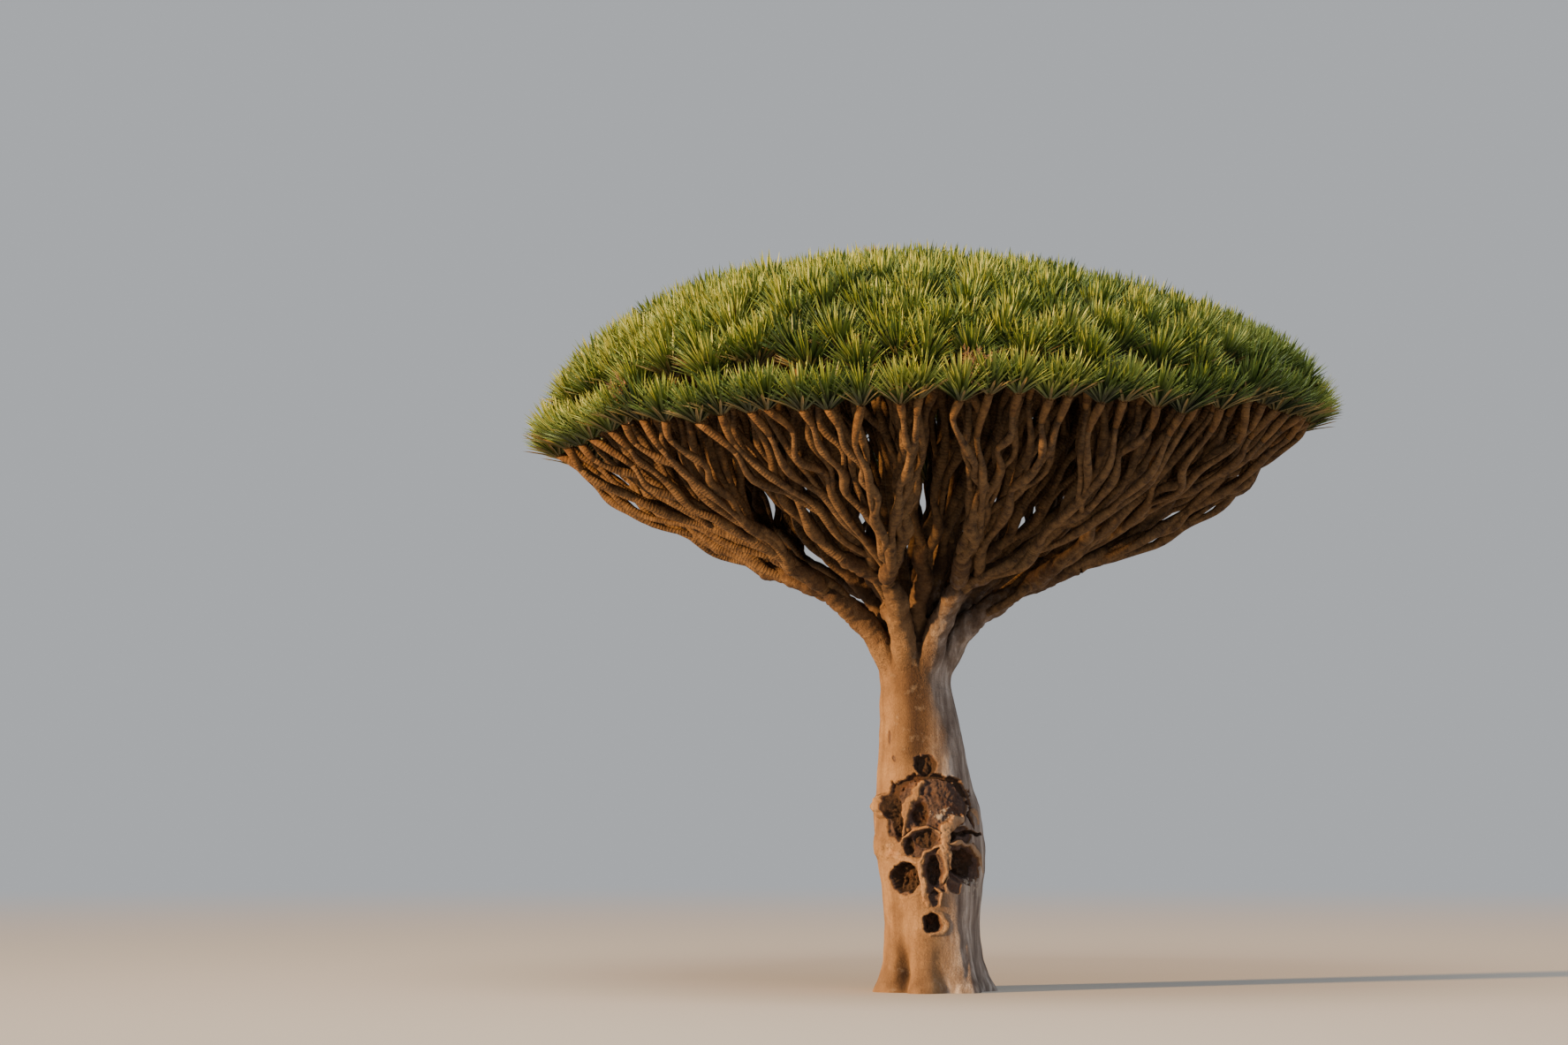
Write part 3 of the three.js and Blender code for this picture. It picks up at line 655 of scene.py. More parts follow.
# Old resin scars and the trunk's other marks, in metres. Their places are across and height, as seen from
# the front or from behind, and a stroke's points are (across, height, half width).
scars = {
    "zone": [  # where the bark is gone: across, height, width, tall
        (-0.04, 1.66, 0.84, 0.54), (-0.37, 1.5, 0.17, 0.28), (-0.12, 1.33, 0.4, 0.28),
        (0.23, 1.38, 0.3, 0.22), (0.0, 1.05, 0.26, 0.38), (0.31, 1.14, 0.36, 0.4),
    ],
    "zoneDepth": 0.035,
    "zoneDarkness": 0.6,
    "hollows": [  # across, height, width, tall, depth, and how dark
        (-0.08, 2.016, 0.24, 0.22, 0.06, 0.95), (-0.387, 1.6, 0.14, 0.36, 0.04, 0.9),
        (-0.345, 1.43, 0.13, 0.2, 0.05, 0.95), (-0.15, 1.573, 0.22, 0.25, 0.05, 0.85),
        (-0.1, 1.36, 0.28, 0.18, 0.03, 0.8), (-0.256, 1.3, 0.09, 0.2, 0.04, 0.9),
        (0.18, 1.387, 0.13, 0.11, 0.06, 1.0), (0.34, 1.41, 0.34, 0.05, 0.04, 1.0),
        (-0.284, 1.015, 0.29, 0.3, 0.12, 1.0), (-0.01, 1.07, 0.2, 0.32, 0.06, 0.75),
        (0.3, 1.145, 0.31, 0.32, 0.085, 0.9), (0.2, 0.96, 0.15, 0.2, 0.02, 0.6),
        (-0.005, 0.83, 0.1, 0.15, 0.03, 0.65), (-0.02, 0.625, 0.19, 0.2, 0.1, 1.0),
        (-0.44, 2.26, 0.03, 0.13, 0.01, 0.5), (-0.39, 2.08, 0.04, 0.08, 0.01, 0.5),
    ],
    "hollowsBehind": [
        (0.06, 1.5, 0.42, 0.4, 0.07, 0.8), (-0.21, 0.96, 0.26, 0.3, 0.09, 0.95),
        (0.23, 0.72, 0.21, 0.23, 0.08, 0.85),
    ],
    # The lip is sunk and painted fully dark, as the shadow under the scar's overhanging upper edge
    "lip": [  # the dark ragged edge over the widest scar
        (-0.442, 1.7, 0.03), (-0.387, 1.796, 0.04), (-0.284, 1.861, 0.03), (-0.19, 1.898, 0.024),
        (-0.108, 1.917, 0.03), (0.05, 1.907, 0.024), (0.162, 1.889, 0.026), (0.255, 1.833, 0.04),
        (0.32, 1.76, 0.045), (0.348, 1.666, 0.04), (0.338, 1.554, 0.03), (0.39, 1.46, 0.025),
    ],
    "lipDepth": 0.055,
    "healed": [  # bark grown back between the hollows: how pale, and the stroke
        (0.4, [(-0.1, 1.87, 0.02), (-0.19, 1.76, 0.045), (-0.262, 1.647, 0.04), (-0.294, 1.517, 0.025),
               (-0.312, 1.387, 0.016)]),
        (0.7, [(-0.312, 1.36, 0.014), (-0.21, 1.434, 0.015), (-0.108, 1.46, 0.012), (-0.006, 1.44, 0.009),
               (0.054, 1.424, 0.02)]),
        (1.0, [(0.264, 1.536, 0.03), (0.18, 1.508, 0.045), (0.1, 1.443, 0.045), (0.106, 1.33, 0.04),
               (0.143, 1.22, 0.028), (0.162, 1.09, 0.014)]),
        (1.0, [(-0.4, 1.26, 0.05), (-0.303, 1.19, 0.024), (-0.19, 1.155, 0.016), (-0.145, 1.164, 0.014)]),
        (0.85, [(-0.145, 1.164, 0.014), (-0.1, 1.24, 0.011), (-0.006, 1.285, 0.013), (0.07, 1.285, 0.018),
                (0.11, 1.24, 0.02)]),
        (1.0, [(-0.145, 1.164, 0.015), (-0.117, 1.05, 0.018), (-0.108, 0.92, 0.026), (-0.075, 0.79, 0.018)]),
        (0.75, [(0.15, 1.31, 0.014), (0.255, 1.34, 0.013), (0.366, 1.3, 0.02), (0.44, 1.2, 0.02),
                (0.468, 1.07, 0.016)]),
        (0.45, [(0.105, 1.2, 0.018), (0.125, 1.09, 0.022), (0.087, 0.97, 0.014)]),
        (0.9, [(-0.006, 0.725, 0.01), (0.07, 0.69, 0.018), (0.115, 0.616, 0.022), (0.07, 0.532, 0.018),
               (-0.04, 0.51, 0.011)]),
        (0.7, [(-0.006, 0.92, 0.01), (0.05, 0.88, 0.012), (0.05, 0.79, 0.011)]),
        (1.0, [(0.37, 1.61, 0.02), (0.415, 1.57, 0.035), (0.42, 1.52, 0.02)]),
    ],
    "healedHeight": 0.012,
    "rimHeal": 0.4,  # how far hollows outside the zone have a healed rim
    "furrows": [(-0.294, 0.18, 0.14, 0.64, 0.09), (0.27, 0.4, 0.06, 0.9, 0.02)],  # the last is their depth
    "lumps": [(-0.48, 1.65, 0.2, 0.24, 0.1), (-0.5, 1.3, 0.22, 0.26, 0.04)],  # and how far they stand out
    "lichen": [(0.1, 1.58, 0.26, 0.12), (0.385, 0.92, 0.18, 0.18)],
    "waver": (9.0, 0.03),  # scale and size of the bends in all outlines
    "raggedScales": (17.0, 40.0),
}
bandAndShadeMarks = {
    "band": (-0.165, 0.15),  # brown, down the front: across and half width
    "bandHeights": (1.85, 3.15),
    "bandFades": (0.3, 0.25),  # heights over which it starts and ends
    # How dark the furrows are painted as shade, for their depth
    "furrowShadeStrength": 12.0,
    # The painted shade side: cool grey on the trunk's right, away from the sun
    "shadeSideFrom": (0.0, 0.24),  # the grey side: how far right of the trunk's middle it starts and is full
    "waver": 0.05,
}


# The trunk's skin laid flat: how far round from its front or back line, and the height
def laidFlat(places, behind):
    radius = np.interp(places[:, 2], *zip(*trunkShape["outline"]))
    lean = np.interp(places[:, 2], *zip(*trunkShape["lean"]))
    turn = np.arctan2(places[:, 0] - lean, places[:, 1] if behind else -places[:, 1])
    return np.stack([radius * turn, places[:, 2]], axis=1)


# A point seen at some height, laid flat likewise, and how much wider its mark is than it looks
def markFlat(across, height):
    radius = onOutline(trunkShape["outline"], height)
    turn = math.asin(min(max((across - onOutline(trunkShape["lean"], height)) / radius, -0.95), 0.95))
    return np.array([radius * turn, height]), 1 / math.cos(turn)


def ovalReach(flat, across, height, width, tall):
    middle, wider = markFlat(across, height)
    offset = flat - middle
    return np.hypot(offset[:, 0] / (width * min(wider, 2) / 2), offset[:, 1] / (tall / 2))


# How many half widths away from a stroke each place is
def strokeReach(flat, stroke):
    nearest = np.full(len(flat), np.inf)
    for start, end in zip(stroke, stroke[1:]):
        foot = markFlat(*start[:2])[0]
        along = markFlat(*end[:2])[0] - foot
        share = np.clip((flat - foot) @ along / (along @ along), 0, 1)
        distance = np.linalg.norm(flat - foot - share[:, None] * along, axis=1)
        nearest = np.minimum(nearest, distance / (start[2] + (end[2] - start[2]) * share))
    return nearest


# Scars as how far each place is pushed out, and the marks that the bark's colours follow
def scarProfiles(places):
    scale, size = scars["waver"]
    coarse, tiny = scars["raggedScales"]
    warp = np.array([[noise.noise(Vector(p * scale)), noise.noise(Vector(p * scale + 40.0))] for p in places])
    ragged = np.array([noise.noise(Vector(p * coarse)) + 0.5 * noise.noise(Vector(p * tiny)) for p in places])
    front, back = (laidFlat(places, behind) + size * warp for behind in (False, True))
    zone = np.min([ovalReach(front, *oval) for oval in scars["zone"]], axis=0)
    zone = smoothStep(1.04, 0.95, zone + 0.12 * ragged)
    deep, rim = np.zeros(len(places)), np.zeros(len(places))
    dark = scars["zoneDarkness"] * zone
    hollows = [(front, hollow) for hollow in scars["hollows"]]
    hollows += [(back, hollow) for hollow in scars["hollowsBehind"]]
    for flat, (*oval, depth, darkness) in hollows:
        reach = ovalReach(flat, *oval) + 0.16 * ragged
        deep = np.maximum(deep, depth * smoothStep(1.0, 0.7, reach) * (1 + 0.4 * ragged))
        dark = np.maximum(dark, darkness * smoothStep(1.05, 0.8, reach))
        around = np.exp(-(((reach - 1.15) / 0.12) ** 2))
        rim = np.maximum(rim, around * smoothStep(0.04, 0.09, depth) * (1 - zone))
    lip = smoothStep(1.3, 0.7, strokeReach(front, scars["lip"]) + 0.9 * ragged)
    deep = np.maximum(deep + scars["zoneDepth"] * (1 + 0.5 * ragged) * zone, scars["lipDepth"] * lip)
    # Painted shadow under the overhanging lip, added to the scars' own dark
    dark = np.maximum(dark, lip)
    healed = pale = scars["rimHeal"] * rim
    for paleness, stroke in scars["healed"]:
        stands = smoothStep(1.7, 0.3, strokeReach(front, stroke) + 0.7 * ragged)
        healed = np.maximum(healed, stands)
        pale = np.maximum(pale, paleness * smoothStep(0.15, 0.6, stands))
    flakes = np.zeros(len(places))
    for oval in scars["lichen"]:
        flakes = np.maximum(flakes, smoothStep(1.1, 0.8, ovalReach(front, *oval) + 0.5 * ragged))
    push = scars["healedHeight"] * healed - deep * (1 - 0.9 * healed)
    for *oval, depth in scars["furrows"]:
        push -= depth * np.exp(-2 * ovalReach(front, *oval) ** 2)
    for *oval, out in scars["lumps"]:
        push += out * smoothStep(1.1, 0.2, ovalReach(front, *oval) + 0.2 * ragged)
    return push, {"scar": dark * (1 - healed), "callus": pale, "flakes": flakes * (1 - healed)}


# A brown band down the trunk's front with painted shade in its furrows, and the trunk's right side painted
# cool grey as the shade away from the sun
def trunkBandAndShade(places):
    across, halfWidth = bandAndShadeMarks["band"]
    low, high = bandAndShadeMarks["bandHeights"]
    start, end = bandAndShadeMarks["bandFades"]
    waver = np.array([bandAndShadeMarks["waver"] * noise.noise(Vector((p[0] * 2, 3.0, p[2] * 1.3))) for p in places])
    band = np.exp(-(((places[:, 0] - across + waver) / halfWidth) ** 2)) * (places[:, 1] < 0)
    band *= smoothStep(low, low + start, places[:, 2]) * smoothStep(high, high - end, places[:, 2])
    front = laidFlat(places, False)
    # The furrows get the band's brown, deeper ones darker: painted shade in them
    for middle, height, width, tall, depth in scars["furrows"]:
        reach = ovalReach(front, middle - 0.02, height, width, tall) + 4 * waver
        band = np.maximum(band, bandAndShadeMarks["furrowShadeStrength"] * depth * np.exp(-2 * reach**2))
    fromMiddle = places[:, 0] - np.interp(places[:, 2], *zip(*trunkShape["lean"]))
    # The right side's cool grey is painted shade, away from the sun
    return {"stain": band, "grey": smoothStep(*bandAndShadeMarks["shadeSideFrom"], fromMiddle + 2 * waver)}


# Relief of the bark, in metres; its noises have a scale and a size
barkRelief = {
    "flutes": ((3.4, 3.4, 0.6), 0.014),
    "lumps": (8.0, 0.006),
    "limbLumps": (6.5, 0.022),
    "limbsFrom": (2.9, 3.3),
    "rings": 0.004,
    "ringSpacing": 0.085,
    "ringWaver": (5.0, 4.0),
    "creases": 0.035,
    "creaseWidth": 0.03,
    "creaseWaver": (14.0, 0.02),
    "creaseHeights": (2.85, 3.1, 3.6, 4.0),  # where they start, are whole, begin to fade and end
}


# Where two boughs meet at the trunk's head: 1 in the crease between them, 0 away from it. The bark is sunk
# there and painted dark as shade.
def limbCreases(places, samples):
    low, whole, fading, high = barkRelief["creaseHeights"]
    scale, size = barkRelief["creaseWaver"]
    chosen = np.flatnonzero((places[:, 2] > low - 0.1) & (places[:, 2] < high))
    spots = places[chosen]
    outside = np.full((len(limbs), len(spots)), np.inf)  # of each bough
    for point, _, radius, number in samples:
        outside[number] = np.minimum(outside[number], np.linalg.norm(spots - point, axis=1) - radius)
    nearest, second = np.sort(outside, axis=0)[:2]
    rough = np.array([noise.noise(Vector(spot * scale)) for spot in spots])
    heights = spots[:, 2]
    share = smoothStep(low, whole, heights + 0.15 * rough) * smoothStep(high, fading, heights)
    crease = np.zeros(len(places))
    crease[chosen] = np.exp(-(((second - nearest + size * rough) / barkRelief["creaseWidth"]) ** 2)) * share
    return crease


# Moves the bark's vertices in and out: flutes, lumps, rings round the boughs and scars
def carveBark(bark, samples):
    mesh = bark.data
    places, normals = np.empty((2, len(mesh.vertices) * 3))
    mesh.vertices.foreach_get("co", places)
    mesh.vertices.foreach_get("normal", normals)
    places, normals = places.reshape(-1, 3), normals.reshape(-1, 3)
    nearest = kdtree.KDTree(len(samples))
    for i, sample in enumerate(samples):
        nearest.insert(sample[0], i)
    nearest.balance()
    push, marks = scarProfiles(places)
    marks.update(trunkBandAndShade(places))
    marks["crease"] = limbCreases(places, samples)
    push -= barkRelief["creases"] * marks["crease"]
    (wide, deep, long), flutes = barkRelief["flutes"]
    lumpScale, lumps = barkRelief["lumps"]
    limbLumpScale, limbLumps = barkRelief["limbLumps"]
    waverScale, waver = barkRelief["ringWaver"]
    limbShare = smoothStep(*barkRelief["limbsFrom"], places[:, 2])
    for i, place in enumerate(places):
        spot = Vector(place)
        onTrunk = flutes * noise.noise(Vector((place[0] * wide, place[1] * deep, place[2] * long)))
        onTrunk += lumps * noise.noise(spot * lumpScale)
        onLimb = 0.0
        if limbShare[i] > 0:
            length = samples[nearest.find(spot)[1]][1]
            turn = 2 * math.pi * length / barkRelief["ringSpacing"] + waver * noise.noise(spot * waverScale)
            onLimb = barkRelief["rings"] * math.sin(turn) + limbLumps * noise.noise(spot * limbLumpScale)
        push[i] += onTrunk * (1 - limbShare[i]) + onLimb * limbShare[i]
    places += normals * push[:, None]
    mesh.vertices.foreach_set("co", places.ravel())
    for name, values in marks.items():
        mark = mesh.attributes.new(name, "FLOAT", "POINT")
        mark.data.foreach_set("value", values.astype(np.float32))
    mesh.update()


# Splits the faces that lie in one of the areas
def refine(bark, areas):
    bpy.ops.object.mode_set(mode="EDIT")
    bpy.ops.mesh.select_mode(type="FACE")
    bpy.ops.mesh.select_all(action="DESELECT")
    bpy.ops.object.mode_set(mode="OBJECT")
    centres = [face.center for face in bark.data.polygons]
    chosen = [any(low < c.z < high and c.y < back for low, high, back in areas) for c in centres]
    bark.data.polygons.foreach_set("select", chosen)
    bpy.ops.object.mode_set(mode="EDIT")
    bpy.ops.mesh.subdivide(number_cuts=1, smoothness=0.0)
    bpy.ops.object.mode_set(mode="OBJECT")


# Cuts a mesh level, keeps what is above or below, and closes it with a crisp edge
def cutLevel(piece, height, keepAbove):
    deselectAll()
    piece.select_set(True)
    bpy.context.view_layer.objects.active = piece
    bpy.ops.object.mode_set(mode="EDIT")
    bpy.ops.mesh.select_all(action="SELECT")
    bpy.ops.mesh.bisect(
        plane_co=(0, 0, height), plane_no=(0, 0, 1), use_fill=True,
        clear_inner=keepAbove, clear_outer=not keepAbove,
    )
    bpy.ops.mesh.mark_sharp()
    bpy.ops.object.mode_set(mode="OBJECT")


def makeBark():
    core = addTrunkCore()
    tubes, samples = addLimbTubes()
    deselectAll()
    tubes.select_set(True)
    core.select_set(True)
    bpy.context.view_layer.objects.active = core
    bpy.ops.object.join()
    bark = bpy.context.object
    fuse = bark.modifiers.new("fuse", "REMESH")
    fuse.mode = "VOXEL"
    fuse.voxel_size = barkMesh["voxel"]
    bpy.ops.object.modifier_apply(modifier=fuse.name)
    soften = bark.modifiers.new("soften", "SMOOTH")
    soften.iterations = barkMesh["smoothing"]
    bpy.ops.object.modifier_apply(modifier=soften.name)
    report(f"fused the bark, {len(bark.data.polygons)} faces")
    refine(bark, barkMesh["fine"])
    refine(bark, barkMesh["finest"])
    carveBark(bark, samples)
    thin = bark.modifiers.new("thin", "DECIMATE")
    thin.ratio = barkMesh["kept"]
    bpy.ops.object.modifier_apply(modifier=thin.name)
    bpy.ops.object.shade_smooth()
    bark.data.materials.append(barkMaterial())
    boughs = bark.copy()
    boughs.data = bark.data.copy()
    bpy.context.collection.objects.link(boughs)
    cutLevel(bark, 0, True)
    cutLevel(bark, barkMesh["seam"], False)
    cutLevel(boughs, barkMesh["seam"], True)
    for piece, name, kind, slot in (
        (bark, "barkOfTrunk", "trunk", "trunk_bark"),
        (boughs, "barkOfBoughs", "bough_", "bough_bark"),
    ):
        piece.name = piece.data.name = name
        standIn(piece, nodesOf(kind))


# Twigs: forking on from each bough's end to the rosettes
twigShape = {
    "sideRoot": 0.75,
    "sides": 8,
    "steps": 4,
    "clubbing": 0.24,
    "neck": 0.9,  # of a twig's first two points
    "swing": 0.156,  # bends, as a share of the length between forks
    "startInside": 0.05,
    "startShare": 0.8,
    "boughShare": 0.95,  # the most of its bough's thickness that a twig has
    "leaveAt": {True: (0.33, 0.52, 0.77, 1.0), False: (0.08, 0.35, 0.65, 1.0)},  # on main and side boughs
    "outerShare": 0.42,
    "lastLength": 0.5,  # share of a last twig that has the young bark
    "ringSpacing": 0.03,
    "tones": {"twigs": ("#2B1D14", "#765C3C"), "twigEnds": ("#3E2917", "#7E5F38")},  # dark and light
}


def twigMaterial(name):
    # Twig bark: matt, ringed all over with the narrow scars of fallen leaves
    dark, light = twigShape["tones"][name]
    spacing = twigShape["ringSpacing"]
    return newMaterial(name + "Bark", [
        ("along", "UVMap", {"uv_map": "along"}, {}),
        ("length", "SeparateXYZ", {}, {"Vector": "along"}),
        ("place", "TexCoord", {}, {}),
        ("mottle", "TexNoise", {"Scale": 14.0, "Detail": 6.0, "Roughness": 0.65}, {"Vector": "place.Object"}),
        ("tone", "ValToRGB", {"stops": [(0.3, dark), (0.7, light)]}, {"Fac": "mottle"}),
        ("waver", "Math", {"operation": "MULTIPLY_ADD", 1: spacing * 2.5}, {0: "mottle", 2: "length"}),
        ("turns", "Math", {"operation": "MULTIPLY", 1: 2 * math.pi / spacing}, {0: "waver"}),
        ("rings", "Math", {"operation": "SINE"}, {0: "turns"}),
        ("bump", "Bump", {"Strength": 0.6, "Distance": 0.004}, {"Height": "rings"}),
        (
            "shader",
            "BsdfPrincipled",
            {"Roughness": 0.8, "Specular IOR Level": 0.3},
            {"Base Color": "tone", "Normal": "bump"},
        ),
    ])


# Bends put in between a twig's forks
def twigNodes(path, draw):
    full = [path[0]]
    for before, after in zip(path, path[1:]):
        reach = np.linalg.norm(after[0] - before[0])
        play = np.array([draw() - 0.5, draw() - 0.5, 0.6 * (draw() - 0.5)]) * 2
        middle = (before[0] + after[0]) / 2 + play * twigShape["swing"] * reach
        full += [(middle, (before[1] + after[1]) / 2), after]
    return full


# A mass's tips in groups, each with the share of the bough's length where its twigs leave it. The
# outermost ones of the rim leave first and run along the underside.
def twigGroups(limb, tips):
    if any(limb["middle"] is middle for middle in rimRing):
        inwards = sorted(tips, key=lambda tip: -math.hypot(tip[0], tip[1]))
        cut = round(len(tips) * twigShape["outerShare"])
        groups = [*halves(inwards[:cut]), *halves(inwards[cut:])]
    else:
        groups = [quarter for half in halves(tips) for quarter in halves(half)]
    return list(zip(twigShape["leaveAt"][limb["main"]], groups))


def makeTwigs():
    tips = canopyTips(treeRule["rosettes"], 5)
    for tip in tips:
        rise = sum(noise.noise(Vector(tip) * scale) for scale in rosetteShape["standingScales"])
        tip += rosetteAxis(tip) * rosetteShape["standing"] * rise
    draw = seededRandom(41)
    old, young, ends = [], [], []
    for limb in limbs:
        paths = []
        points, radii, _ = limbWay(limb)
        for share, group in twigGroups(limb, ownTips(tips, limb["middle"])):
            i = round(share * (len(points) - 1))
            along = points[i] - points[i - 1]
            along = along / np.linalg.norm(along)
            radius = limbRadius(len(group) * treeRule["realRosettes"] / treeRule["rosettes"], 1)
            radius = min(radius, radii[i] * twigShape["boughShare"])
            root = (points[i] - along * twigShape["startInside"], radius * twigShape["startShare"])
            growTwigs([root, (points[i], radius)], along, group, paths)
        for path in paths:
            points, radii, places = smoothWay(twigNodes(path, draw), twigShape["steps"])
            radii = radii * clubbed(places / 2, twigShape["clubbing"])
            radii[:2] *= twigShape["neck"]
            split = len(points) - 1 - int(twigShape["lastLength"] * 2 * twigShape["steps"])
            old.append((points[: split + 1], radii[: split + 1]))
            young.append((points[split:], radii[split:]))
            ends.append(path[-1][0])
    for name, tubes in (("twigs", old), ("twigEnds", young)):
        twigs = tubesObject(name, tubes, twigShape["sides"], twigMaterial(name), smooth=True)
        standIn(twigs, nodesOf("foliage_"))
    return ends


# Rosettes: stiff sword leaves round each twig's end
rosetteShape = {
    "leaves": 112,
    "leafLength": 0.37,
    "lengthPlay": 0.26,
    "outerShorter": 0.12,
    "leafWidth": 0.025,
    "fold": 0.006,
    "midrib": 0.4,  # how far the middle of a leaf stands up, as a share of how far its sides go down
    "crown": 0.06,  # the leaves' roots are spread over this length of twig
    "crownRadius": 0.02,
    "widestTilt": 54,  # degrees from the rosette's axis to its lowest leaves
    "bend": 10,  # degrees that a leaf arches outwards
    "azimuthPlay": 0.15,
    "tiltPlay": 0.06,
    "twistPlay": 0.35,
    "stations": [0.0, 0.42, 0.78, 1.0],
    "widths": [0.8, 1.0, 0.72, 0.0],
    "oldLeaves": 0.1,  # share of the lowest leaves that are going over
    "standing": 0.045,  # how far rosettes stand above or below the canopy
    "standingScales": (1.6, 9.0),
    "patchScale": 0.9,  # of the patches of tone over the crown
    "patchPlay": 0.3,
    "leafPlay": 0.22,
    "base": "#735630",
    # Each root tone is darker than its blade: painted shade at the heart of the rosette
    "tones": [  # root and blade, from deep to pale
        ("leafDeep", "#1D2B0E", "#435A20"),
        ("leafMid", "#293A12", "#587027"),
        ("leafFresh", "#384B17", "#718631"),
        ("leafPale", "#4C5E1D", "#93A046"),
    ],
    "oldTone": ("leafOld", "#504C24", "#8A7642"),
}


def leafMaterial(name, root, blade):
    # Dragon tree leaf: leathery with a dull wax bloom, pale brown at its very root, then dark over its lower
    # part as painted shade of the rosette's heart, and lighter towards its tip
    # The dark root stops are painted shade of the rosette's heart
    stops = [(0.0, rosetteShape["base"]), (0.8, blade), (0.1, root), (0.35, root)]
    finish = {"Roughness": 0.48, "Specular IOR Level": 0.45, "Sheen Weight": 0.1}
    return newMaterial(name + "Wax", [
        ("along", "UVMap", {"uv_map": "along"}, {}),
        ("length", "SeparateXYZ", {}, {"Vector": "along"}),
        ("tone", "ValToRGB", {"stops": stops}, {"Fac": "length"}),
        ("shader", "BsdfPrincipled", finish, {"Base Color": "tone"}),
    ])


# Leaves of one rosette: vertices 10 to a leaf, and each leaf's number from the middle outwards
def rosetteLeaves(tip, axis, random):
    shape = rosetteShape
    count = shape["leaves"]

    def played(size):
        return random.uniform(-size, size, count)

    order = (np.arange(count) + 0.5) / count
    azimuth = np.arange(count) * goldenAngle + played(shape["azimuthPlay"]) + random.uniform(0, 6.28)
    lowest = math.cos(math.radians(shape["widestTilt"]))
    tilt = np.arccos(np.clip(1 - order * (1 - lowest), -1, 1)) + played(shape["tiltPlay"])
    length = shape["leafLength"] * (1 + shape["lengthPlay"] * (random.uniform(0, 1, count) - 0.5))
    length *= 1 - shape["outerShorter"] * order
    across = np.cross(axis, (0.2, 1, 0))
    across /= np.linalg.norm(across)
    other = np.cross(axis, across)
    out = np.cos(azimuth)[:, None] * across + np.sin(azimuth)[:, None] * other
    side = np.cross(axis, out)
    side /= np.linalg.norm(side, axis=1)[:, None]
    twist = played(shape["twistPlay"])[:, None]
    point = tip + axis * (shape["crown"] * (0.75 - order))[:, None] + out * shape["crownRadius"]
    rows = []
    before = 0
    for station, width in zip(shape["stations"], shape["widths"]):
        turned = tilt + math.radians(shape["bend"]) * np.sin(tilt) * (station + before)
        way = np.cos(turned)[:, None] * axis + np.sin(turned)[:, None] * out
        point = point + way * ((station - before) * length)[:, None]
        half = 0.5 * shape["leafWidth"] * width
        wide = side * np.cos(twist) + np.cross(way, side) * np.sin(twist)
        lift = np.cross(way, wide) * shape["fold"] * width
        rows += [point + wide * half - lift, point + lift * shape["midrib"], point - wide * half - lift]
        before = station
    return np.stack(rows[:9] + [point], axis=1), order


def makeRosettes(ends):
    random = np.random.RandomState(17)
    leafFaces = []
    for a in (0, 1, 3, 4):
        leafFaces += [(a, a + 1, a + 4), (a, a + 4, a + 3)]
    leafFaces = np.array(leafFaces + [(6, 7, 9), (7, 8, 9)])
    leafUv = [(station, side) for station in rosetteShape["stations"][:3] for side in (0, 0.5, 1)]
    tones = rosetteShape["tones"] + [rosetteShape["oldTone"]]
    stores = [[] for _ in tones]
    for tip in ends:
        leaves, order = rosetteLeaves(tip, rosetteAxis(tip), random)
        patch = 0.5 + 0.5 * noise.noise(Vector(tip * rosetteShape["patchScale"]))
        patch += random.uniform(-rosetteShape["patchPlay"], rosetteShape["patchPlay"])
        play = random.uniform(-rosetteShape["leafPlay"], rosetteShape["leafPlay"], len(order))
        shade = patch + 0.5 * (0.5 - order) + play
        tone = np.clip(shade * (len(tones) - 1), 0, len(tones) - 2).astype(int)
        tone[order > 1 - rosetteShape["oldLeaves"] * random.uniform(0, 2)] = len(tones) - 1
        for i, store in enumerate(stores):
            store.append(leaves[tone == i])
    for (name, root, blade), store in zip(tones, stores):
        leaves = np.concatenate(store)
        count = len(leaves)
        faces = (leafFaces[None] + 10 * np.arange(count)[:, None, None]).reshape(-1, 3)
        uv = np.tile(leafUv + [(1, 0.5)], (count, 1))
        piece = meshObject(name, leaves.reshape(-1, 3), [faces], leafMaterial(name, root, blade), uv)
        standIn(piece, nodesOf("foliage_"))


# Spent flower stalks: dry panicles over some rosettes
stalkShape = {
    "height": 0.3,
    "branches": 20,
    "branchLength": 0.13,
    "twiglets": 12,
    "twigletLength": 0.06,
    "thickness": 0.006,
}


def stalkMaterial():
    # Dry flower stalk: papery, pinkish brown
    return newMaterial("drySeedStalk", [
        ("place", "TexCoord", {}, {}),
        ("mottle", "TexNoise", {"Scale": 30.0, "Detail": 3.0}, {"Vector": "place.Object"}),
        ("tone", "ValToRGB", {"stops": [(0.3, "#6E5138"), (0.7, "#A8876A")]}, {"Fac": "mottle"}),
        ("shader", "BsdfPrincipled", {"Roughness": 0.85}, {"Base Color": "tone"}),
    ])


def solidStalkTips():
    solidTips = canopyTips(treeRule["solidRosettes"], 5)
    chosen = []
    for number, limb in enumerate(limbs, 1):
        for i, tip in enumerate(ownTips(solidTips, limb["middle"])):
            if (number * treeRule["flowerStalkStep"] + i) % treeRule["flowerStalkEvery"] == 0:
                chosen.append(tip)
    return chosen


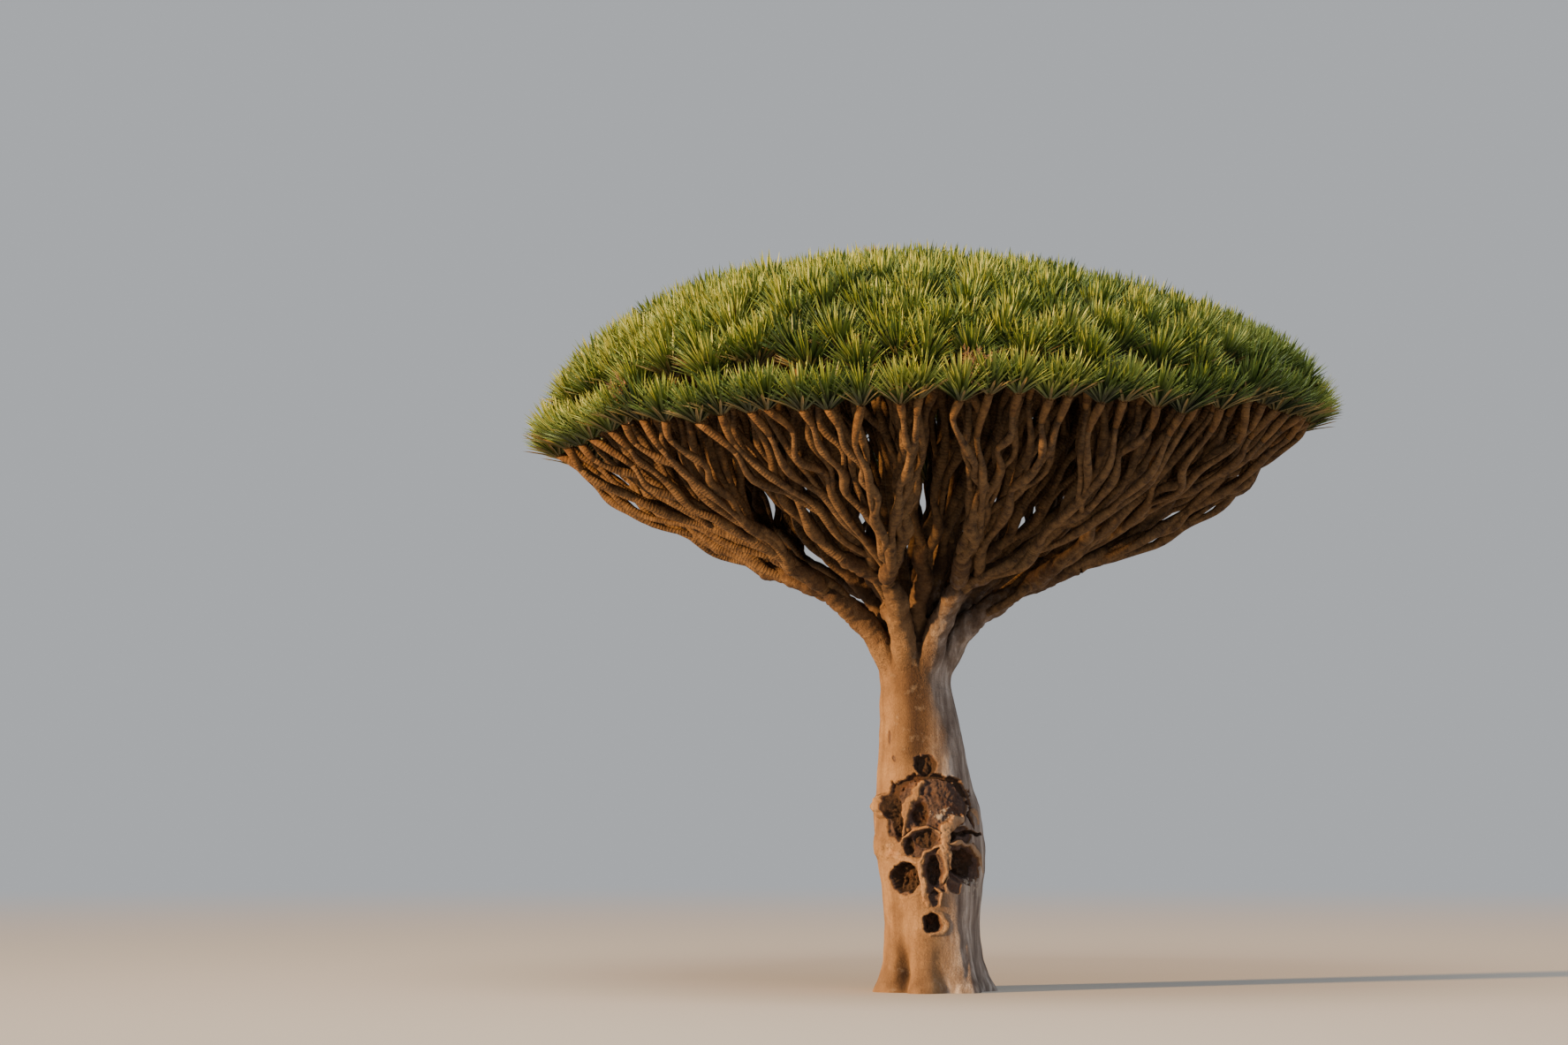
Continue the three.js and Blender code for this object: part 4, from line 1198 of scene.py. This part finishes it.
def makeFlowerStalks():
    random = np.random.RandomState(23)
    sticks = []

    def addStick(start, end, radius):
        sticks.append((np.array([start, end]), np.array([radius, radius * 0.5])))

    def towards(way):
        out = random.normal(size=3) + way
        return out / np.linalg.norm(out)

    thick = stalkShape["thickness"]
    for tip in solidStalkTips():
        axis = rosetteAxis(tip)
        top = tip + axis * stalkShape["height"]
        addStick(tip, top, thick)
        for k in range(stalkShape["branches"]):
            root = tip + (top - tip) * (0.5 + 0.5 * (k + 1) / stalkShape["branches"])
            out = towards(axis * 0.8)
            end = root + out * stalkShape["branchLength"] * random.uniform(0.7, 1.2)
            addStick(root, end, thick * 0.6)
            for _ in range(stalkShape["twiglets"]):
                foot = root + (end - root) * random.uniform(0.3, 1)
                addStick(foot, foot + towards(out) * stalkShape["twigletLength"], thick * 0.5)
    stalks = tubesObject("flowerStalks", sticks, 3, stalkMaterial(), smooth=False)
    standIn(stalks, nodesOf("foliage_"))


# Camera, light and floor
view = {
    "place": (-1.34, -30.0, 1.6),
    "pitch": 4.99,
    "lens": 76.06,
    "sunFrom": (-1.0, -0.48, 0.2),
    "sunStrength": 11.0,
    "sunSpread": 4.0,  # degrees, for soft shadows
    "sunColour": "#FFC680",
    "fill": {"place": (12.0, -18.0, 9.0), "size": 12.0, "power": 450, "colour": "#D8E2F2"},
    "top": {"place": (-3.0, -8.0, 16.0), "size": 9.0, "power": 1900, "colour": "#FFF3E2"},
    "skyColour": "#DDE1E6",
    "skyStrength": 0.64,
    "floorColour": "#C9C5BE",
    "floorSize": 400.0,
    "floorFade": (6.0, 45.0),
}


def addAreaLight(name, light, aim):
    bpy.ops.object.light_add(type="AREA", location=light["place"])
    lamp = bpy.context.object
    lamp.name = name
    lamp.data.size = light["size"]
    lamp.data.energy = light["power"]
    lamp.data.color = linear(light["colour"])[:3]
    lamp.rotation_euler = (Vector(aim) - Vector(light["place"])).to_track_quat("-Z", "Y").to_euler()


def floorMaterial():
    # Matt pale floor that turns into the sky's tone far off, so that no horizon shows
    near, far = view["floorFade"]
    fade = {"interpolation_type": "SMOOTHSTEP", "From Min": near, "From Max": far}
    return newMaterial("paleFloor", [
        ("place", "TexCoord", {}, {}),
        ("distance", "VectorMath", {"operation": "LENGTH"}, {0: "place.Object"}),
        ("share", "MapRange", fade, {"Value": "distance"}),
        ("matt", "BsdfDiffuse", {"Color": view["floorColour"]}, {}),
        ("glow", "Emission", {"Color": view["skyColour"], "Strength": view["skyStrength"]}, {}),
        ("floor", "MixShader", {}, {0: "share", 1: "matt", 2: "glow"}),
    ])


def makeStage():
    deselectAll()
    bpy.ops.mesh.primitive_plane_add(size=view["floorSize"], location=(0, 0, 0))
    floor = bpy.context.object
    floor.name = "floor"
    floor.data.materials.append(floorMaterial())
    world = bpy.data.worlds.new("softSky")
    bpy.context.scene.world = world
    world.use_nodes = True
    sky = world.node_tree.nodes["Background"]
    sky.inputs["Color"].default_value = linear(view["skyColour"])
    sky.inputs["Strength"].default_value = view["skyStrength"]
    bpy.ops.object.light_add(type="SUN", location=(0, 0, 12))
    sun = bpy.context.object
    sun.name = "lowSun"
    sun.data.energy = view["sunStrength"]
    sun.data.angle = math.radians(view["sunSpread"])
    sun.data.color = linear(view["sunColour"])[:3]
    sun.rotation_euler = Vector(view["sunFrom"]).to_track_quat("Z", "Y").to_euler()
    addAreaLight("softFill", view["fill"], (0, 0, 3))
    addAreaLight("topLight", view["top"], (0, 0, 5))
    tilt = math.radians(90 + view["pitch"])
    bpy.ops.object.camera_add(location=view["place"], rotation=(tilt, 0, 0))
    camera = bpy.context.object
    camera.data.lens = view["lens"]
    camera.data.sensor_width = 36.0
    camera.data.clip_end = 1000.0
    bpy.context.scene.camera = camera


makeBark()
twigEnds = makeTwigs()
makeRosettes(twigEnds)
makeFlowerStalks()
makeStage()
report("all pieces made")
